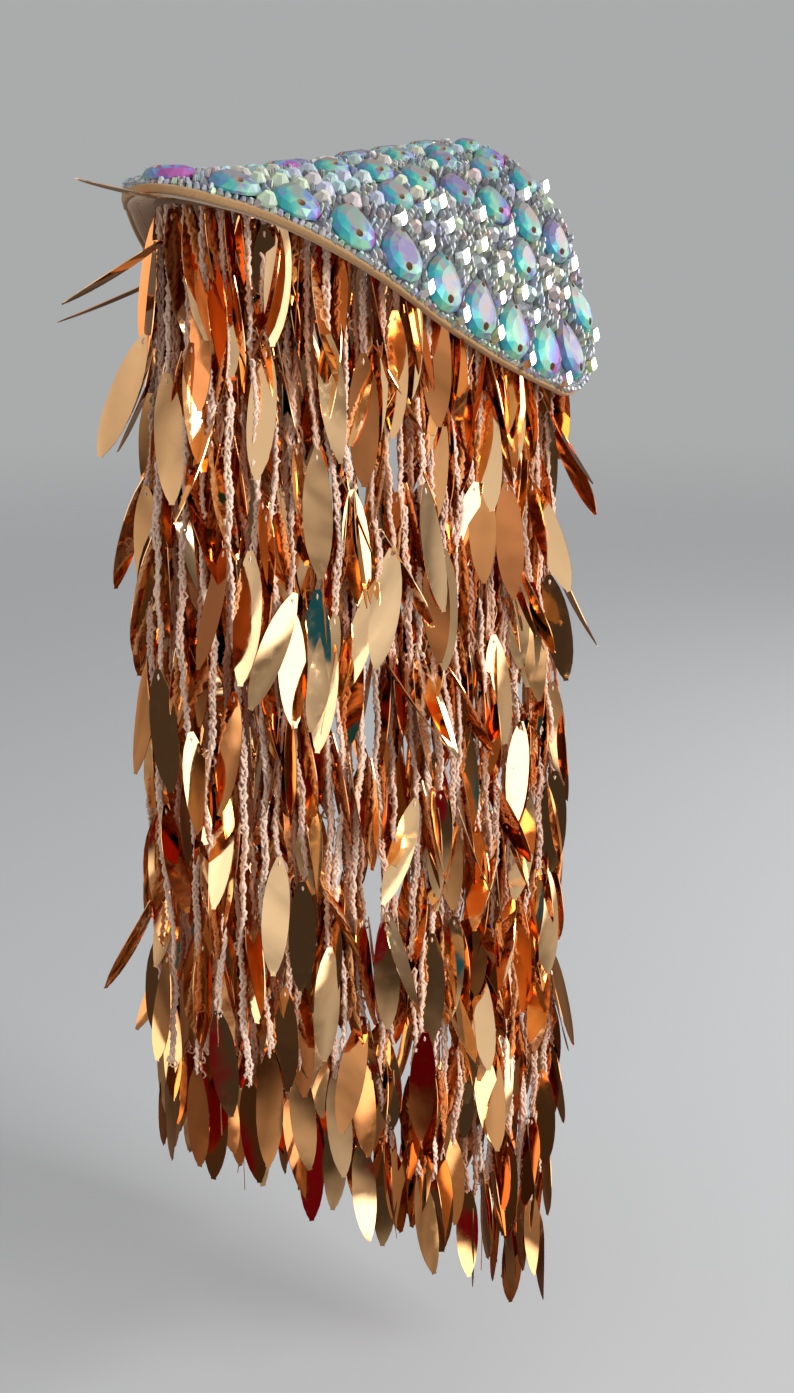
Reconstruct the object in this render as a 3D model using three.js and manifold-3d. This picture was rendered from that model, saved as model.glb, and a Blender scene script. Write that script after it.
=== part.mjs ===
// A shoulder epaulette: a felt cap bent over the shoulder and covered with cut stones,
// with a long fringe of yarn and leaf sequins along its two outer edges.
// Millimetres, +Z up. +X points to the neck, -X down the arm, -Y to the front of the wearer.
// The origin is the middle of the fastening pad's flat underside, where it sits on the shoulder.
import * as THREE from 'three';
import Module from 'manifold-3d';

const wasm = await Module();
wasm.setup();

// The cap as a flat pattern: u runs along the shoulder ridge, a is the distance across it on the cloth.
const TIP_U = -94.7;
const TIP_RADIUS = 36.9;
const NECK_U = 88.1;
const CORNER_A = 133.8;
const CORNER_RADIUS = 20;
const SIDE_BULGE = 7.2;

// The bend over the shoulder: a round ridge with straight wings hanging from it.
const ARCH_RADIUS = 64.7;
const WING_ANGLE = THREE.MathUtils.degToRad(73.5);
const NECK_RISE = 11.3;
const TIP_DROP = 6.8;

// Layers, from the pad up.
const GAP = 0.4;
const PAD_DEPTH = 5;
const LINING_THICKNESS = 1;
const BASE_THICKNESS = 3;
const FIELD_THICKNESS = 1.2;
const LINING_INSET = 1.6;
const FIELD_INSET = 1.2;

// The fastening pad.
const PAD_LENGTH = 40;
const PAD_WIDTH = 24;

// Main stones.
const STONE_HEIGHT = 4;
const STONE_GIRDLE = 1.1;
const STONE_TABLE = 0.52;
const STONE_SIDES = 12;
const STONE_TABLE_SHIFT = 0.08;
const DROP_BROADEST = 0.77;
const RIM_STONE = { inset: 12.5, pitch: 22, count: 8, width: 18.5, length: 24 };
const CORNER_STONES = [
  { u: 66, a: 115, turn: 0.1, width: 14.5, length: 27 },
  { u: 79, a: 100, turn: 0.25, width: 13.5, length: 24 },
];
const INNER_ROWS = [
  { name: 'middle_stone', apex: -55.5, pitch: 32, first: 2, last: 4, step: 2, width: 15, length: 19 },
  { name: 'upper_stone', apex: -23.4, pitch: 17.4, first: 0, last: 7, step: 1, width: 15, length: 20.5 },
];
const RIM_LEAN = 0.55;

// The fringe: header tape under the edge, and locks of yarn and leaf sequins.
const HEADER_INSET = 11;
const HEADER_WIDTH = 10;
const HEADER_THICKNESS = 1.8;
const SEGMENTS_PER_SIDE = 6;
const LOCKS_PER_SEGMENT = 3;
const FRINGE_REACH = 196;
const SEGMENT_GAP = 1;
const LOCK_LENGTH_AT_TIP = 383;
const LOCK_LENGTH_AT_CORNER = 452;
const LOCK_LEAVES = 5;
const LOCK_FILL = 0.92;
const LOCK_DEPTH = 15;
const LOCK_NECK = 2.6;
const LOCK_SWAY = 2;
const LOCK_SWAY_TURN = 2.4;
const LEAF_FULLNESS = [1, 0.8, 0.94, 0.72, 0.88];
const LEAF_BELLY = 0.6;

// Single sequins that stand out from the first locks behind the outer tip, by their drop below the tape.
const FLARED_LEAF = { length: 44, width: 9, thickness: 1.2, head: 1, belly: 0.45 };
const FLARES = [
  { lock: 0, drop: 5, dip: 4 },
  { lock: 1, drop: 12, dip: 36 },
  { lock: 2, drop: 20, dip: 42 },
];

// One material for each kind of piece.
const finishes = {
  felt: { color: 0xb98a55, roughness: 0.9, metalness: 0 },
  satin: { color: 0xbfa27e, roughness: 0.55, metalness: 0 },
  crystal: { color: 0xb9bec4, roughness: 0.15, metalness: 0.1 },
  stone: { color: 0x5fc4c4, roughness: 0.08, metalness: 0.1 },
  pad: { color: 0xb8ab98, roughness: 0.95, metalness: 0 },
  fringe: { color: 0xc08a4c, roughness: 0.3, metalness: 0.8 },
};

const BASE_TOP = PAD_DEPTH + GAP + LINING_THICKNESS + GAP + BASE_THICKNESS;
const TAPE_TOP = -BASE_THICKNESS - GAP - LINING_THICKNESS - GAP;
const TAPE_BOTTOM = TAPE_TOP - HEADER_THICKNESS;
const RIDGE_SLOPE = NECK_RISE / NECK_U;
const RIDGE_CURL = (-RIDGE_SLOPE * TIP_U - TIP_DROP) / (TIP_U * TIP_U);

const epaulette = new THREE.Group();

function addPiece(name, geometry, finish) {
  const mesh = new THREE.Mesh(geometry, new THREE.MeshStandardMaterial(finishes[finish]));
  mesh.name = name;
  epaulette.add(mesh);
  return mesh;
}

// Height of the ridge above its place over the origin: it climbs to the neck and levels out at the tip.
function ridgeHeight(u) {
  const outer = Math.min(u, 0);
  return RIDGE_SLOPE * u + RIDGE_CURL * outer * outer;
}

// A point of the flat pattern on the bent cap, at a height above the top face of the felt.
function onCap(u, a, height) {
  const bend = Math.min(Math.abs(a) / ARCH_RADIUS, WING_ANGLE);
  const wing = Math.max(Math.abs(a) - ARCH_RADIUS * WING_ANGLE, 0);
  const radius = ARCH_RADIUS + height;
  const y = radius * Math.sin(bend) + wing * Math.cos(WING_ANGLE);
  const z = radius * Math.cos(bend) - ARCH_RADIUS - wing * Math.sin(WING_ANGLE);
  return new THREE.Vector3(u, Math.sign(a) * y, BASE_TOP + ridgeHeight(u) + z);
}

// Half of the cap's outline, drawn in by an inset: round tip, bulged side, round corner, straight neck edge.
function halfOutline(inset) {
  const tip = new THREE.Vector2(TIP_U + TIP_RADIUS, 0);
  const corner = new THREE.Vector2(NECK_U - CORNER_RADIUS, CORNER_A - CORNER_RADIUS);
  const run = corner.clone().sub(tip);
  const lean = Math.asin((TIP_RADIUS - CORNER_RADIUS) / run.length());
  const facing = run.angle() + Math.PI / 2 - lean;
  const outward = new THREE.Vector2(Math.cos(facing), Math.sin(facing));
  const start = tip.clone().addScaledVector(outward, TIP_RADIUS - inset);
  const end = corner.clone().addScaledVector(outward, CORNER_RADIUS - inset);
  const middle = start.clone().lerp(end, 0.5).addScaledVector(outward, 2 * SIDE_BULGE);
  const tipRadius = TIP_RADIUS - inset;
  const cornerRadius = CORNER_RADIUS - inset;
  return {
    along: end.clone().sub(start).normalize(),
    tip: new THREE.EllipseCurve(tip.x, tip.y, tipRadius, tipRadius, Math.PI, facing, true),
    side: new THREE.QuadraticBezierCurve(start, middle, end),
    corner: new THREE.EllipseCurve(corner.x, corner.y, cornerRadius, cornerRadius, facing, 0, true),
  };
}

// Point and tangent on the run from the tip along the side, by distance from the ridge.
function outerRun(inset) {
  const { tip, side } = halfOutline(inset);
  const path = new THREE.CurvePath();
  path.add(tip);
  path.add(side);
  const length = path.getLength();
  return (distance) => {
    const share = Math.min(distance / length, 1);
    return { point: path.getPointAt(share), tangent: path.getTangentAt(share) };
  };
}

function geometryFrom(points, triangles) {
  const geometry = new THREE.BufferGeometry();
  geometry.setAttribute('position', new THREE.Float32BufferAttribute(points.flatMap((p) => p.toArray()), 3));
  geometry.setIndex(triangles);
  geometry.computeVertexNormals();
  return geometry;
}

// A closed wall that follows the cap between two heights, inside the outline drawn in by an inset.
function capWall({ inset, top, bottom, tipSteps, sideSteps, cornerSteps, columns }) {
  const { tip, side, corner } = halfOutline(inset);
  const edge = [
    ...tip.getPoints(tipSteps).slice(1),
    ...side.getPoints(sideSteps).slice(1),
    ...corner.getPoints(cornerSteps).slice(1),
  ];
  const points = [];
  for (const height of [top, bottom]) {
    points.push(onCap(TIP_U + inset, 0, height));
    for (const { x, y } of edge) {
      for (let c = 0; c <= columns; c += 1) {
        points.push(onCap(x, y * (2 * c / columns - 1), height));
      }
    }
  }
  const layer = 1 + edge.length * (columns + 1);
  const at = (face, row, c) => face * layer + (row === 0 ? 0 : 1 + (row - 1) * (columns + 1) + c);
  const triangles = [];
  const triangle = (p, q, r) => {
    if (p !== q && q !== r && r !== p) triangles.push(p, q, r);
  };
  const quad = (p, q, r, s) => {
    triangle(p, q, r);
    triangle(p, r, s);
  };
  for (let row = 0; row < edge.length; row += 1) {
    for (let c = 0; c < columns; c += 1) {
      const upper = [at(0, row, c), at(0, row + 1, c), at(0, row + 1, c + 1), at(0, row, c + 1)];
      const lower = [at(1, row, c), at(1, row, c + 1), at(1, row + 1, c + 1), at(1, row + 1, c)];
      for (const corners of [upper, lower]) {
        const back = c >= columns / 2;
        quad(...(back ? [...corners.slice(1), corners[0]] : corners));
      }
    }
    quad(at(0, row, 0), at(1, row, 0), at(1, row + 1, 0), at(0, row + 1, 0));
    quad(at(0, row + 1, columns), at(1, row + 1, columns), at(1, row, columns), at(0, row, columns));
  }
  for (let c = 0; c < columns; c += 1) {
    const last = edge.length;
    quad(at(0, last, c), at(1, last, c), at(1, last, c + 1), at(0, last, c + 1));
  }
  return geometryFrom(points, triangles);
}

// Volume inside a closed set of triangles, negative when they face inwards.
function signedVolume(points, triangles) {
  let volume = 0;
  for (let t = 0; t < triangles.length; t += 3) {
    const [p, q, r] = triangles.slice(t, t + 3).map((k) => points[k]);
    volume += p.dot(q.clone().cross(r)) / 6;
  }
  return volume;
}

// A closed solid through rings of equally many points, turned so that its faces point out.
function loft(rings) {
  const points = rings.flat();
  const sides = rings[0].length;
  const last = (rings.length - 1) * sides;
  const triangles = [];
  for (let r = 0; r + 1 < rings.length; r += 1) {
    for (let k = 0; k < sides; k += 1) {
      const next = (k + 1) % sides;
      const p = r * sides;
      const q = p + sides;
      triangles.push(p + k, p + next, q + next, p + k, q + next, q + k);
    }
  }
  for (let k = 1; k + 1 < sides; k += 1) {
    triangles.push(0, k + 1, k);
    triangles.push(last, last + k, last + k + 1);
  }
  if (signedVolume(points, triangles) < 0) triangles.reverse();
  return geometryFrom(points, triangles);
}

function toSolid(geometry) {
  return new wasm.Manifold(new wasm.Mesh({
    numProp: 3,
    vertProperties: new Float32Array(geometry.getAttribute('position').array),
    triVerts: new Uint32Array(geometry.getIndex().array),
  }));
}

function fused(geometries) {
  const solid = geometries.map(toSolid).reduce((whole, piece) => whole.add(piece));
  const { vertProperties, triVerts } = solid.getMesh();
  const geometry = new THREE.BufferGeometry();
  geometry.setAttribute('position', new THREE.BufferAttribute(vertProperties, 3));
  geometry.setIndex(new THREE.BufferAttribute(triVerts, 1));
  geometry.computeVertexNormals();
  return geometry;
}

// Felt cap, its lining and the layer of small crystals.
function makeCap() {
  const baseBottom = -BASE_THICKNESS;
  addPiece('cap_base', capWall({
    inset: 0, top: 0, bottom: baseBottom, tipSteps: 5, sideSteps: 7, cornerSteps: 6, columns: 20,
  }), 'felt');
  addPiece('cap_lining', capWall({
    inset: LINING_INSET, top: baseBottom - GAP, bottom: baseBottom - GAP - LINING_THICKNESS,
    tipSteps: 4, sideSteps: 6, cornerSteps: 4, columns: 20,
  }), 'satin');
  addPiece('crystal_field', capWall({
    inset: FIELD_INSET, top: GAP + FIELD_THICKNESS, bottom: GAP,
    tipSteps: 5, sideSteps: 7, cornerSteps: 6, columns: 20,
  }), 'crystal');
}

// A drop-shaped cut stone with a flat back, a table and a ring of facets. Its wide end points to +Y.
function dropStone(width, length) {
  const ring = (scale, height) => {
    const points = [];
    const shift = (1 - scale) * length * STONE_TABLE_SHIFT;
    for (let k = 0; k < STONE_SIDES; k += 1) {
      const turn = (k + 0.5) / STONE_SIDES * 2 * Math.PI;
      const x = width / 2 * Math.sin(turn) * Math.sin(turn / 2) / DROP_BROADEST;
      const y = -length / 2 * Math.cos(turn);
      points.push(new THREE.Vector3(x * scale, y * scale + shift, height));
    }
    return points;
  };
  return loft([ring(1, 0), ring(1, STONE_GIRDLE), ring(STONE_TABLE, STONE_HEIGHT)]);
}

// Sets a stone on the crystals, its back tangent to the cap and its wide end along a heading in the pattern.
function setStone(name, { u, a, heading, width, length }) {
  const height = GAP + FIELD_THICKNESS + GAP;
  const probe = 0.5;
  const place = onCap(u, a, height);
  const alongU = onCap(u + probe, a, height).sub(onCap(u - probe, a, height)).normalize();
  const alongA = onCap(u, a + probe, height).sub(onCap(u, a - probe, height)).normalize();
  const up = alongU.clone().cross(alongA).normalize();
  const across = alongA.clone().addScaledVector(up, -alongA.dot(up)).normalize();
  const forward = alongU.clone().multiplyScalar(Math.cos(heading)).addScaledVector(across, Math.sin(heading));
  const right = forward.clone().cross(up).normalize();
  const stone = addPiece(name, dropStone(width, length), 'stone');
  stone.quaternion.setFromRotationMatrix(new THREE.Matrix4().makeBasis(right, forward, up));
  stone.position.copy(place);
}

// Calls a function for the front and the back half, with the sign of a on each.
function bothHalves(make) {
  make('front', -1);
  make('back', 1);
}

// The row of stones along the rim, its wide ends outward, and the stones that turn round each corner.
function makeRimStones() {
  const run = outerRun(RIM_STONE.inset);
  const { width, length } = RIM_STONE;
  setStone('rim_stone_tip', { u: run(0).point.x, a: 0, heading: Math.PI, width, length });
  bothHalves((half, sign) => {
    for (let k = 1; k <= RIM_STONE.count; k += 1) {
      const { point, tangent } = run(k * RIM_STONE.pitch);
      const outward = new THREE.Vector2(-tangent.y, tangent.x + RIM_LEAN * point.y / CORNER_A);
      const heading = sign * outward.angle();
      setStone(`rim_stone_${half}_${k}`, { u: point.x, a: sign * point.y, heading, width, length });
    }
    CORNER_STONES.forEach((stone, k) => {
      const heading = sign * (Math.PI / 2 - stone.turn);
      setStone(`corner_stone_${half}_${k + 1}`, { ...stone, a: sign * stone.a, heading });
    });
  });
}

// Rows further up the cap, running beside the outer edges from an apex on the ridge.
function makeInnerStones() {
  const { along } = halfOutline(0);
  for (const row of INNER_ROWS) {
    const { width, length } = row;
    if (row.first === 0) {
      setStone(`${row.name}_ridge`, { u: row.apex, a: 0, heading: Math.PI, width, length });
    }
    bothHalves((half, sign) => {
      for (let k = Math.max(row.first, 1); k <= row.last; k += row.step) {
        const u = row.apex + along.x * k * row.pitch;
        const a = along.y * k * row.pitch;
        const outward = new THREE.Vector2(-along.y, along.x + RIM_LEAN * a / CORNER_A);
        const heading = sign * outward.angle();
        setStone(`${row.name}_${half}_${k}`, { u, a: sign * a, heading, width, length });
      }
    });
  }
}

// The fastening pad: flat below, and following the underside of the lining above.
function makePad() {
  const lengthSteps = 4;
  const widthSteps = 4;
  const rings = [];
  for (let i = 0; i <= lengthSteps; i += 1) {
    const u = (i / lengthSteps - 0.5) * PAD_LENGTH;
    const ring = [];
    for (let j = 0; j <= widthSteps; j += 1) {
      ring.push(onCap(u, (j / widthSteps - 0.5) * PAD_WIDTH, TAPE_TOP));
    }
    ring.push(new THREE.Vector3(u, ring[widthSteps].y, 0));
    ring.push(new THREE.Vector3(u, ring[0].y, 0));
    rings.push(ring);
  }
  addPiece('hook_pad', loft(rings), 'pad');
}

// A rhombic section of a lock, wide along the edge and deep across it.
function lockRing(centre, along, out, halfWidth, halfDepth) {
  return [
    centre.clone().addScaledVector(along, halfWidth),
    centre.clone().addScaledVector(out, halfDepth),
    centre.clone().addScaledVector(along, -halfWidth),
    centre.clone().addScaledVector(out, -halfDepth),
  ];
}

// One hanging lock: a string of leaves, each widest below its middle, ending in a point.
function lock({ top, along, out, length, width, number }) {
  const pitch = length / LOCK_LEAVES;
  const rings = [lockRing(top, along, out, LOCK_NECK / 2, LOCK_NECK / 2)];
  for (let k = 0; k < LOCK_LEAVES; k += 1) {
    const full = LEAF_FULLNESS[(number + 2 * k) % LEAF_FULLNESS.length];
    const sway = LOCK_SWAY * Math.sin(number * LOCK_SWAY_TURN + k);
    const belly = top.clone().addScaledVector(out, sway);
    belly.z -= (k + LEAF_BELLY) * pitch;
    rings.push(lockRing(belly, along, out, full * width / 2, full * LOCK_DEPTH / 2));
    const waist = top.clone();
    waist.z -= (k + 1) * pitch;
    const slim = k + 1 < LOCK_LEAVES ? LOCK_NECK : LOCK_NECK / 4;
    rings.push(lockRing(waist, along, out, slim, slim));
  }
  return loft(rings);
}

// A flat leaf that stands out from a lock and dips by an angle in degrees.
function flaredLeaf(top, along, out, dip) {
  const { length, width, thickness, head, belly } = FLARED_LEAF;
  const angle = THREE.MathUtils.degToRad(dip);
  const reach = out.clone().multiplyScalar(Math.cos(angle)).setZ(-Math.sin(angle));
  const face = reach.clone().cross(along).normalize();
  const stations = [
    { at: -head, half: thickness },
    { at: length * belly, half: width / 2 },
    { at: length, half: thickness / 2 },
  ];
  return loft(stations.map(({ at, half }) => {
    const centre = top.clone().addScaledVector(reach, at);
    return [[1, 1], [-1, 1], [-1, -1], [1, -1]].map(([s, f]) => (
      centre.clone().addScaledVector(along, s * half).addScaledVector(face, f * thickness / 2)
    ));
  }));
}

// Places under the lining along the head of the fringe on one half, by distance from the tip.
function underEdge(sign) {
  const run = outerRun(HEADER_INSET);
  return (distance, height, inwards = 0) => {
    const { point, tangent } = run(distance);
    const u = point.x + tangent.y * inwards;
    const a = point.y - tangent.x * inwards;
    return onCap(u, sign * a, height);
  };
}

// A stretch of the header tape, flat against the lining.
function headerTape(place, start, end) {
  const tapeSteps = 4;
  const rings = [];
  for (let i = 0; i <= tapeSteps; i += 1) {
    const distance = start + (end - start) * i / tapeSteps;
    rings.push([
      place(distance, TAPE_TOP),
      place(distance, TAPE_TOP, HEADER_WIDTH),
      place(distance, TAPE_BOTTOM, HEADER_WIDTH),
      place(distance, TAPE_BOTTOM),
    ]);
  }
  return loft(rings);
}

// The lock that hangs at a distance along the tape, with a flared leaf where it has one.
function hangLock(place, sign, distance, spacing, number) {
  const middle = (TAPE_TOP + TAPE_BOTTOM) / 2;
  const top = place(distance, middle, LOCK_NECK / 2);
  const stride = place(distance + 1, middle, LOCK_NECK / 2).sub(top).setZ(0);
  const width = LOCK_FILL * spacing * stride.length();
  const along = stride.normalize();
  const out = new THREE.Vector3(-along.y, along.x, 0).multiplyScalar(sign);
  const share = distance / FRINGE_REACH;
  const length = THREE.MathUtils.lerp(LOCK_LENGTH_AT_TIP, LOCK_LENGTH_AT_CORNER, share);
  const flares = sign > 0 ? FLARES.filter((flare) => flare.lock === number) : [];
  return [
    lock({ top, along, out, length, width, number }),
    ...flares.map(({ drop, dip }) => flaredLeaf(top.clone().setZ(top.z - drop), along, out, dip)),
  ];
}

// The fringe in segments, front and back, each a piece of header tape with its locks.
function makeFringe() {
  const span = FRINGE_REACH / SEGMENTS_PER_SIDE;
  const spacing = (span - SEGMENT_GAP) / LOCKS_PER_SEGMENT;
  bothHalves((half, sign) => {
    const place = underEdge(sign);
    for (let segment = 0; segment < SEGMENTS_PER_SIDE; segment += 1) {
      const start = segment * span + SEGMENT_GAP / 2;
      const pieces = [headerTape(place, start, start + span - SEGMENT_GAP)];
      for (let n = 0; n < LOCKS_PER_SEGMENT; n += 1) {
        const number = segment * LOCKS_PER_SEGMENT + n;
        pieces.push(...hangLock(place, sign, start + (n + 0.5) * spacing, spacing, number));
      }
      addPiece(`fringe_${half}_${segment + 1}`, fused(pieces), 'fringe');
    }
  });
}

makeCap();
makeRimStones();
makeInnerStones();
makePad();
makeFringe();

export default epaulette;
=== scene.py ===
"""Looks of a shoulder epaulette: a felt cap set with crystals, and a fringe of yarn and leaf sequins."""

import math

import bpy
import numpy as np
from bpy.props import FloatProperty, FloatVectorProperty, IntProperty, PointerProperty
from mathutils import Euler, Matrix, Quaternion, Vector


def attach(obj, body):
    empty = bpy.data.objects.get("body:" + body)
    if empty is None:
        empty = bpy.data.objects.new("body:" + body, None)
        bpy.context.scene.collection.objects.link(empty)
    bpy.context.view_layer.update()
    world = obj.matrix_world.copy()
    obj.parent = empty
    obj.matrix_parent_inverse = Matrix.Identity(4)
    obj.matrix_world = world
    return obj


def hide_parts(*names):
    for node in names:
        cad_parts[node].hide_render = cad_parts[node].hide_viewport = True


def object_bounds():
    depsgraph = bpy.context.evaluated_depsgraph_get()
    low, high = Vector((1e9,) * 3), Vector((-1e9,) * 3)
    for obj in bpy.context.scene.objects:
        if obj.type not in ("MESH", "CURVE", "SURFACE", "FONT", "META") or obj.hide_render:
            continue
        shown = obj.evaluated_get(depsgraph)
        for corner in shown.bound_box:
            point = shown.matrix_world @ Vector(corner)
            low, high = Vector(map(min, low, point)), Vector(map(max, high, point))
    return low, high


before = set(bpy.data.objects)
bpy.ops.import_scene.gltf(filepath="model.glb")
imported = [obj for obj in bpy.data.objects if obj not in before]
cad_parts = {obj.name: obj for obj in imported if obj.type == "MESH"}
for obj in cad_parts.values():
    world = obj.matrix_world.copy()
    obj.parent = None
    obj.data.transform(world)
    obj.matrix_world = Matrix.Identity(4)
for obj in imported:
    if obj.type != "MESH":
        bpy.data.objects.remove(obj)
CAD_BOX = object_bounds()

bl_info = {
    "name": "Shoulder epaulette",
    "version": (1, 0, 0),
    "blender": (4, 5, 0),
    "location": "View3D > Sidebar > Epaulette",
    "description": "Builds the finish of a crystal shoulder epaulette with a leaf fringe",
    "category": "Object",
}

MM = 0.001
HALVES = (("front", -1), ("back", 1))

# The cap as a flat pattern: u runs along the shoulder ridge, a is the distance across it on the cloth.
TIP_U = -94.7 * MM
TIP_RADIUS = 36.9 * MM
NECK_U = 88.1 * MM
CORNER_A = 133.8 * MM
CORNER_RADIUS = 20 * MM
SIDE_BULGE = 7.2 * MM

# The bend over the shoulder: a round ridge with straight wings hanging from it.
ARCH_RADIUS = 64.7 * MM
WING_ANGLE = math.radians(73.5)
NECK_RISE = 11.3 * MM
TIP_DROP = 6.8 * MM
BASE_TOP = 9.8 * MM
RIDGE_SLOPE = NECK_RISE / NECK_U
RIDGE_CURL = (-RIDGE_SLOPE * TIP_U - TIP_DROP) / (TIP_U * TIP_U)

# Heights of the layers above the top face of the felt.
FELT_BOTTOM = -3 * MM
LINING_BOTTOM = -4.4 * MM
TAPE_TOP = -4.8 * MM
TAPE_BOTTOM = -6.6 * MM
BED_TOP = 1.6 * MM
STONE_TOP = 6 * MM

# The head of the fringe, measured inwards from the cap's edge.
HEADER_INSET = 11 * MM
HEADER_WIDTH = 10 * MM
FRINGE_REACH = 196 * MM

# The two rows of strands: distance in from the tape's edge, and shift along it in parts of the spacing.
STRAND_ROWS = ((1.6 * MM, 0.5), (6.6 * MM, 0.95))

# Drop stones: rows along the edges, as the solids have them, and the smaller rows near the ridge.
DROP_BROADEST = 0.842
RIM_LEAN = 0.55
RIM_ROW = {"inset": 12.5 * MM, "pitch": 22 * MM, "count": 8, "width": 18.5 * MM, "length": 24 * MM}
CORNER_STONES = (
    {"u": 66 * MM, "a": 115 * MM, "turn": 0.1, "width": 14.5 * MM, "length": 27 * MM},
    {"u": 79 * MM, "a": 100 * MM, "turn": 0.25, "width": 13.5 * MM, "length": 24 * MM},
)
MIDDLE_ROW = {"apex": -55.5 * MM, "pitch": 32 * MM, "steps": (2, 4), "width": 15 * MM, "length": 19 * MM}
UPPER_ROW = {"apex": -23.4 * MM, "pitch": 17.4 * MM, "steps": range(8), "width": 15 * MM, "length": 20.5 * MM}
RIDGE_ROWS = (
    {"apex": 18 * MM, "pitch": 18.4 * MM, "steps": range(5), "width": 13 * MM, "length": 18 * MM},
    {"apex": 40 * MM, "pitch": 22 * MM, "steps": range(3), "width": 13 * MM, "length": 17 * MM},
    {"apex": 65 * MM, "pitch": 19 * MM, "steps": range(2), "width": 12 * MM, "length": 16 * MM},
)
STONE_KINDS = 4
STONE_SEED = 20

# The sewing holes of a drop of unit size: place along it, half width and half length.
STONE_HOLES = ((0.33, 0.088, 0.066), (-0.36, 0.055, 0.04))

# Crystals that are strewn on the cap: the field along and across the ridge, how many there are at most, their
# size, the gap round them, and the room kept to the cap's edge and to each other.
RIDGE_ROUNDS = {
    "along": (-80 * MM, 84 * MM), "across": (-40 * MM, 40 * MM), "count": 90,
    "width": 8.4 * MM, "length": 8.4 * MM, "gap": -0.5 * MM, "border": 4 * MM,
}
SIDE_ROUNDS = {
    "along": (-60 * MM, 84 * MM), "across": (36 * MM, 128 * MM), "count": 16,
    "width": 6.6 * MM, "length": 7.6 * MM, "gap": 0.6 * MM, "border": 5 * MM,
}
KITES = {
    "along": (-24 * MM, 87 * MM), "across": (46 * MM, 130 * MM), "count": 30,
    "width": 5.5 * MM, "length": 9.6 * MM, "gap": 0.1 * MM, "border": 3 * MM, "apart": 10.5 * MM,
}
STREWN_HEIGHT = 4 * MM

# How far kites tip towards the light at most, and where their points look on the front half.
KITE_TIP = math.radians(28)
KITE_POINT = Vector((0.52, -0.28, 0.80))

# The crystals of the rim, and the slivers that fill the rest and lean down the slope.
RIM_INSET = 2 * MM
RIM_WIDTH = 2.9 * MM
RIM_LENGTH = 3.6 * MM
RIM_HEIGHT = 2.3 * MM
RIM_KINDS = 4
CHIP_SLANT = 0.6
CHIP_KINDS = 6
CHIP_BORDER = 3.2 * MM
CHIP_FULL_DEPTH = 16 * MM

# Leaves that stand out behind the tip: distance along the edge, drop and reach from the tape in millimetres,
# dip and roll in degrees.
STANDING_LEAVES = (
    (1, 0, 0, -4, 0),
    (8, 13, 0, 32, -28),
    (35, 22, 0, 26, -8),
    (15, 48, 8, 68, 55),
)

# The photograph's viewpoint.
PHOTO_WIDTH = 794
PHOTO_HEIGHT = 1393
PHOTO_FOCAL = 1500
SENSOR = 36.0
CAMERA_PLACE = Vector((-478.2, -395.7, -15.0)) * MM
CAMERA_AHEAD = Vector((0.7989, 0.6015, 0.0))
CAMERA_RIGHT = Vector((0.6015, -0.7989, 0.0))
CAMERA_PITCH = math.radians(17)

SIDE_LIGHT = CAMERA_RIGHT * 1.65 + CAMERA_AHEAD * 0.75 + Vector((0, 0, 0.5))

# Directions of what the leaves mirror: pale openings, dark corners and two patches of colour.
ROOM = {
    "window": -CAMERA_AHEAD + CAMERA_RIGHT * 1.0 + Vector((0, 0, -0.48)),
    "door": CAMERA_AHEAD * 0.1 + CAMERA_RIGHT + Vector((0, 0, -0.36)),
    "skylight": -CAMERA_AHEAD * 0.2 - CAMERA_RIGHT + Vector((0, 0, -0.26)),
    "wall": -CAMERA_AHEAD - CAMERA_RIGHT * 0.9 + Vector((0, 0, 0.12)),
    "floor": -CAMERA_AHEAD + Vector((0, 0, -0.8)),
    "corner": -CAMERA_AHEAD - CAMERA_RIGHT * 0.9 + Vector((0, 0, -0.6)),
    "red": -CAMERA_AHEAD + CAMERA_RIGHT * 0.35 + Vector((0, 0, -0.5)),
    "blue": -CAMERA_AHEAD - CAMERA_RIGHT * 0.5 + Vector((0, 0, -0.12)),
}

# What is laid over the surroundings, in this order: half angle and soft edge in degrees, and colour.
ROOM_PATCHES = (
    ("floor", 26, 12, (0.05, 0.037, 0.027)),
    ("corner", 17, 8, (0.06, 0.045, 0.034)),
    ("red", 9, 3, (0.12, 0.003, 0.010)),
    ("blue", 6, 3, (0.01, 0.09, 0.17)),
    ("window", 9, 7, (2.7, 2.65, 2.55)),
    ("door", 9, 6, (2.2, 2.15, 2.1)),
    ("skylight", 7, 5, (1.8, 1.8, 1.8)),
)

# Shades of the surroundings from below to above, on the near side and on the far side, and their blotches.
NEAR_SHADES = (
    (0.0, (0.18, 0.13, 0.095)),
    (0.40, (0.32, 0.26, 0.21)),
    (0.53, (0.51, 0.49, 0.465)),
    (1.0, (0.86, 0.88, 0.90)),
)
FAR_SHADES = (
    (0.0, (0.10, 0.06, 0.04)),
    (0.42, (0.14, 0.105, 0.08)),
    (0.56, (0.21, 0.205, 0.20)),
    (1.0, (0.76, 0.78, 0.81)),
)
BLOTCHES = ((0.34, (0.5, 0.47, 0.44)), (0.5, (0.95, 0.95, 0.95)), (0.66, (1.3, 1.3, 1.3)))

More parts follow.
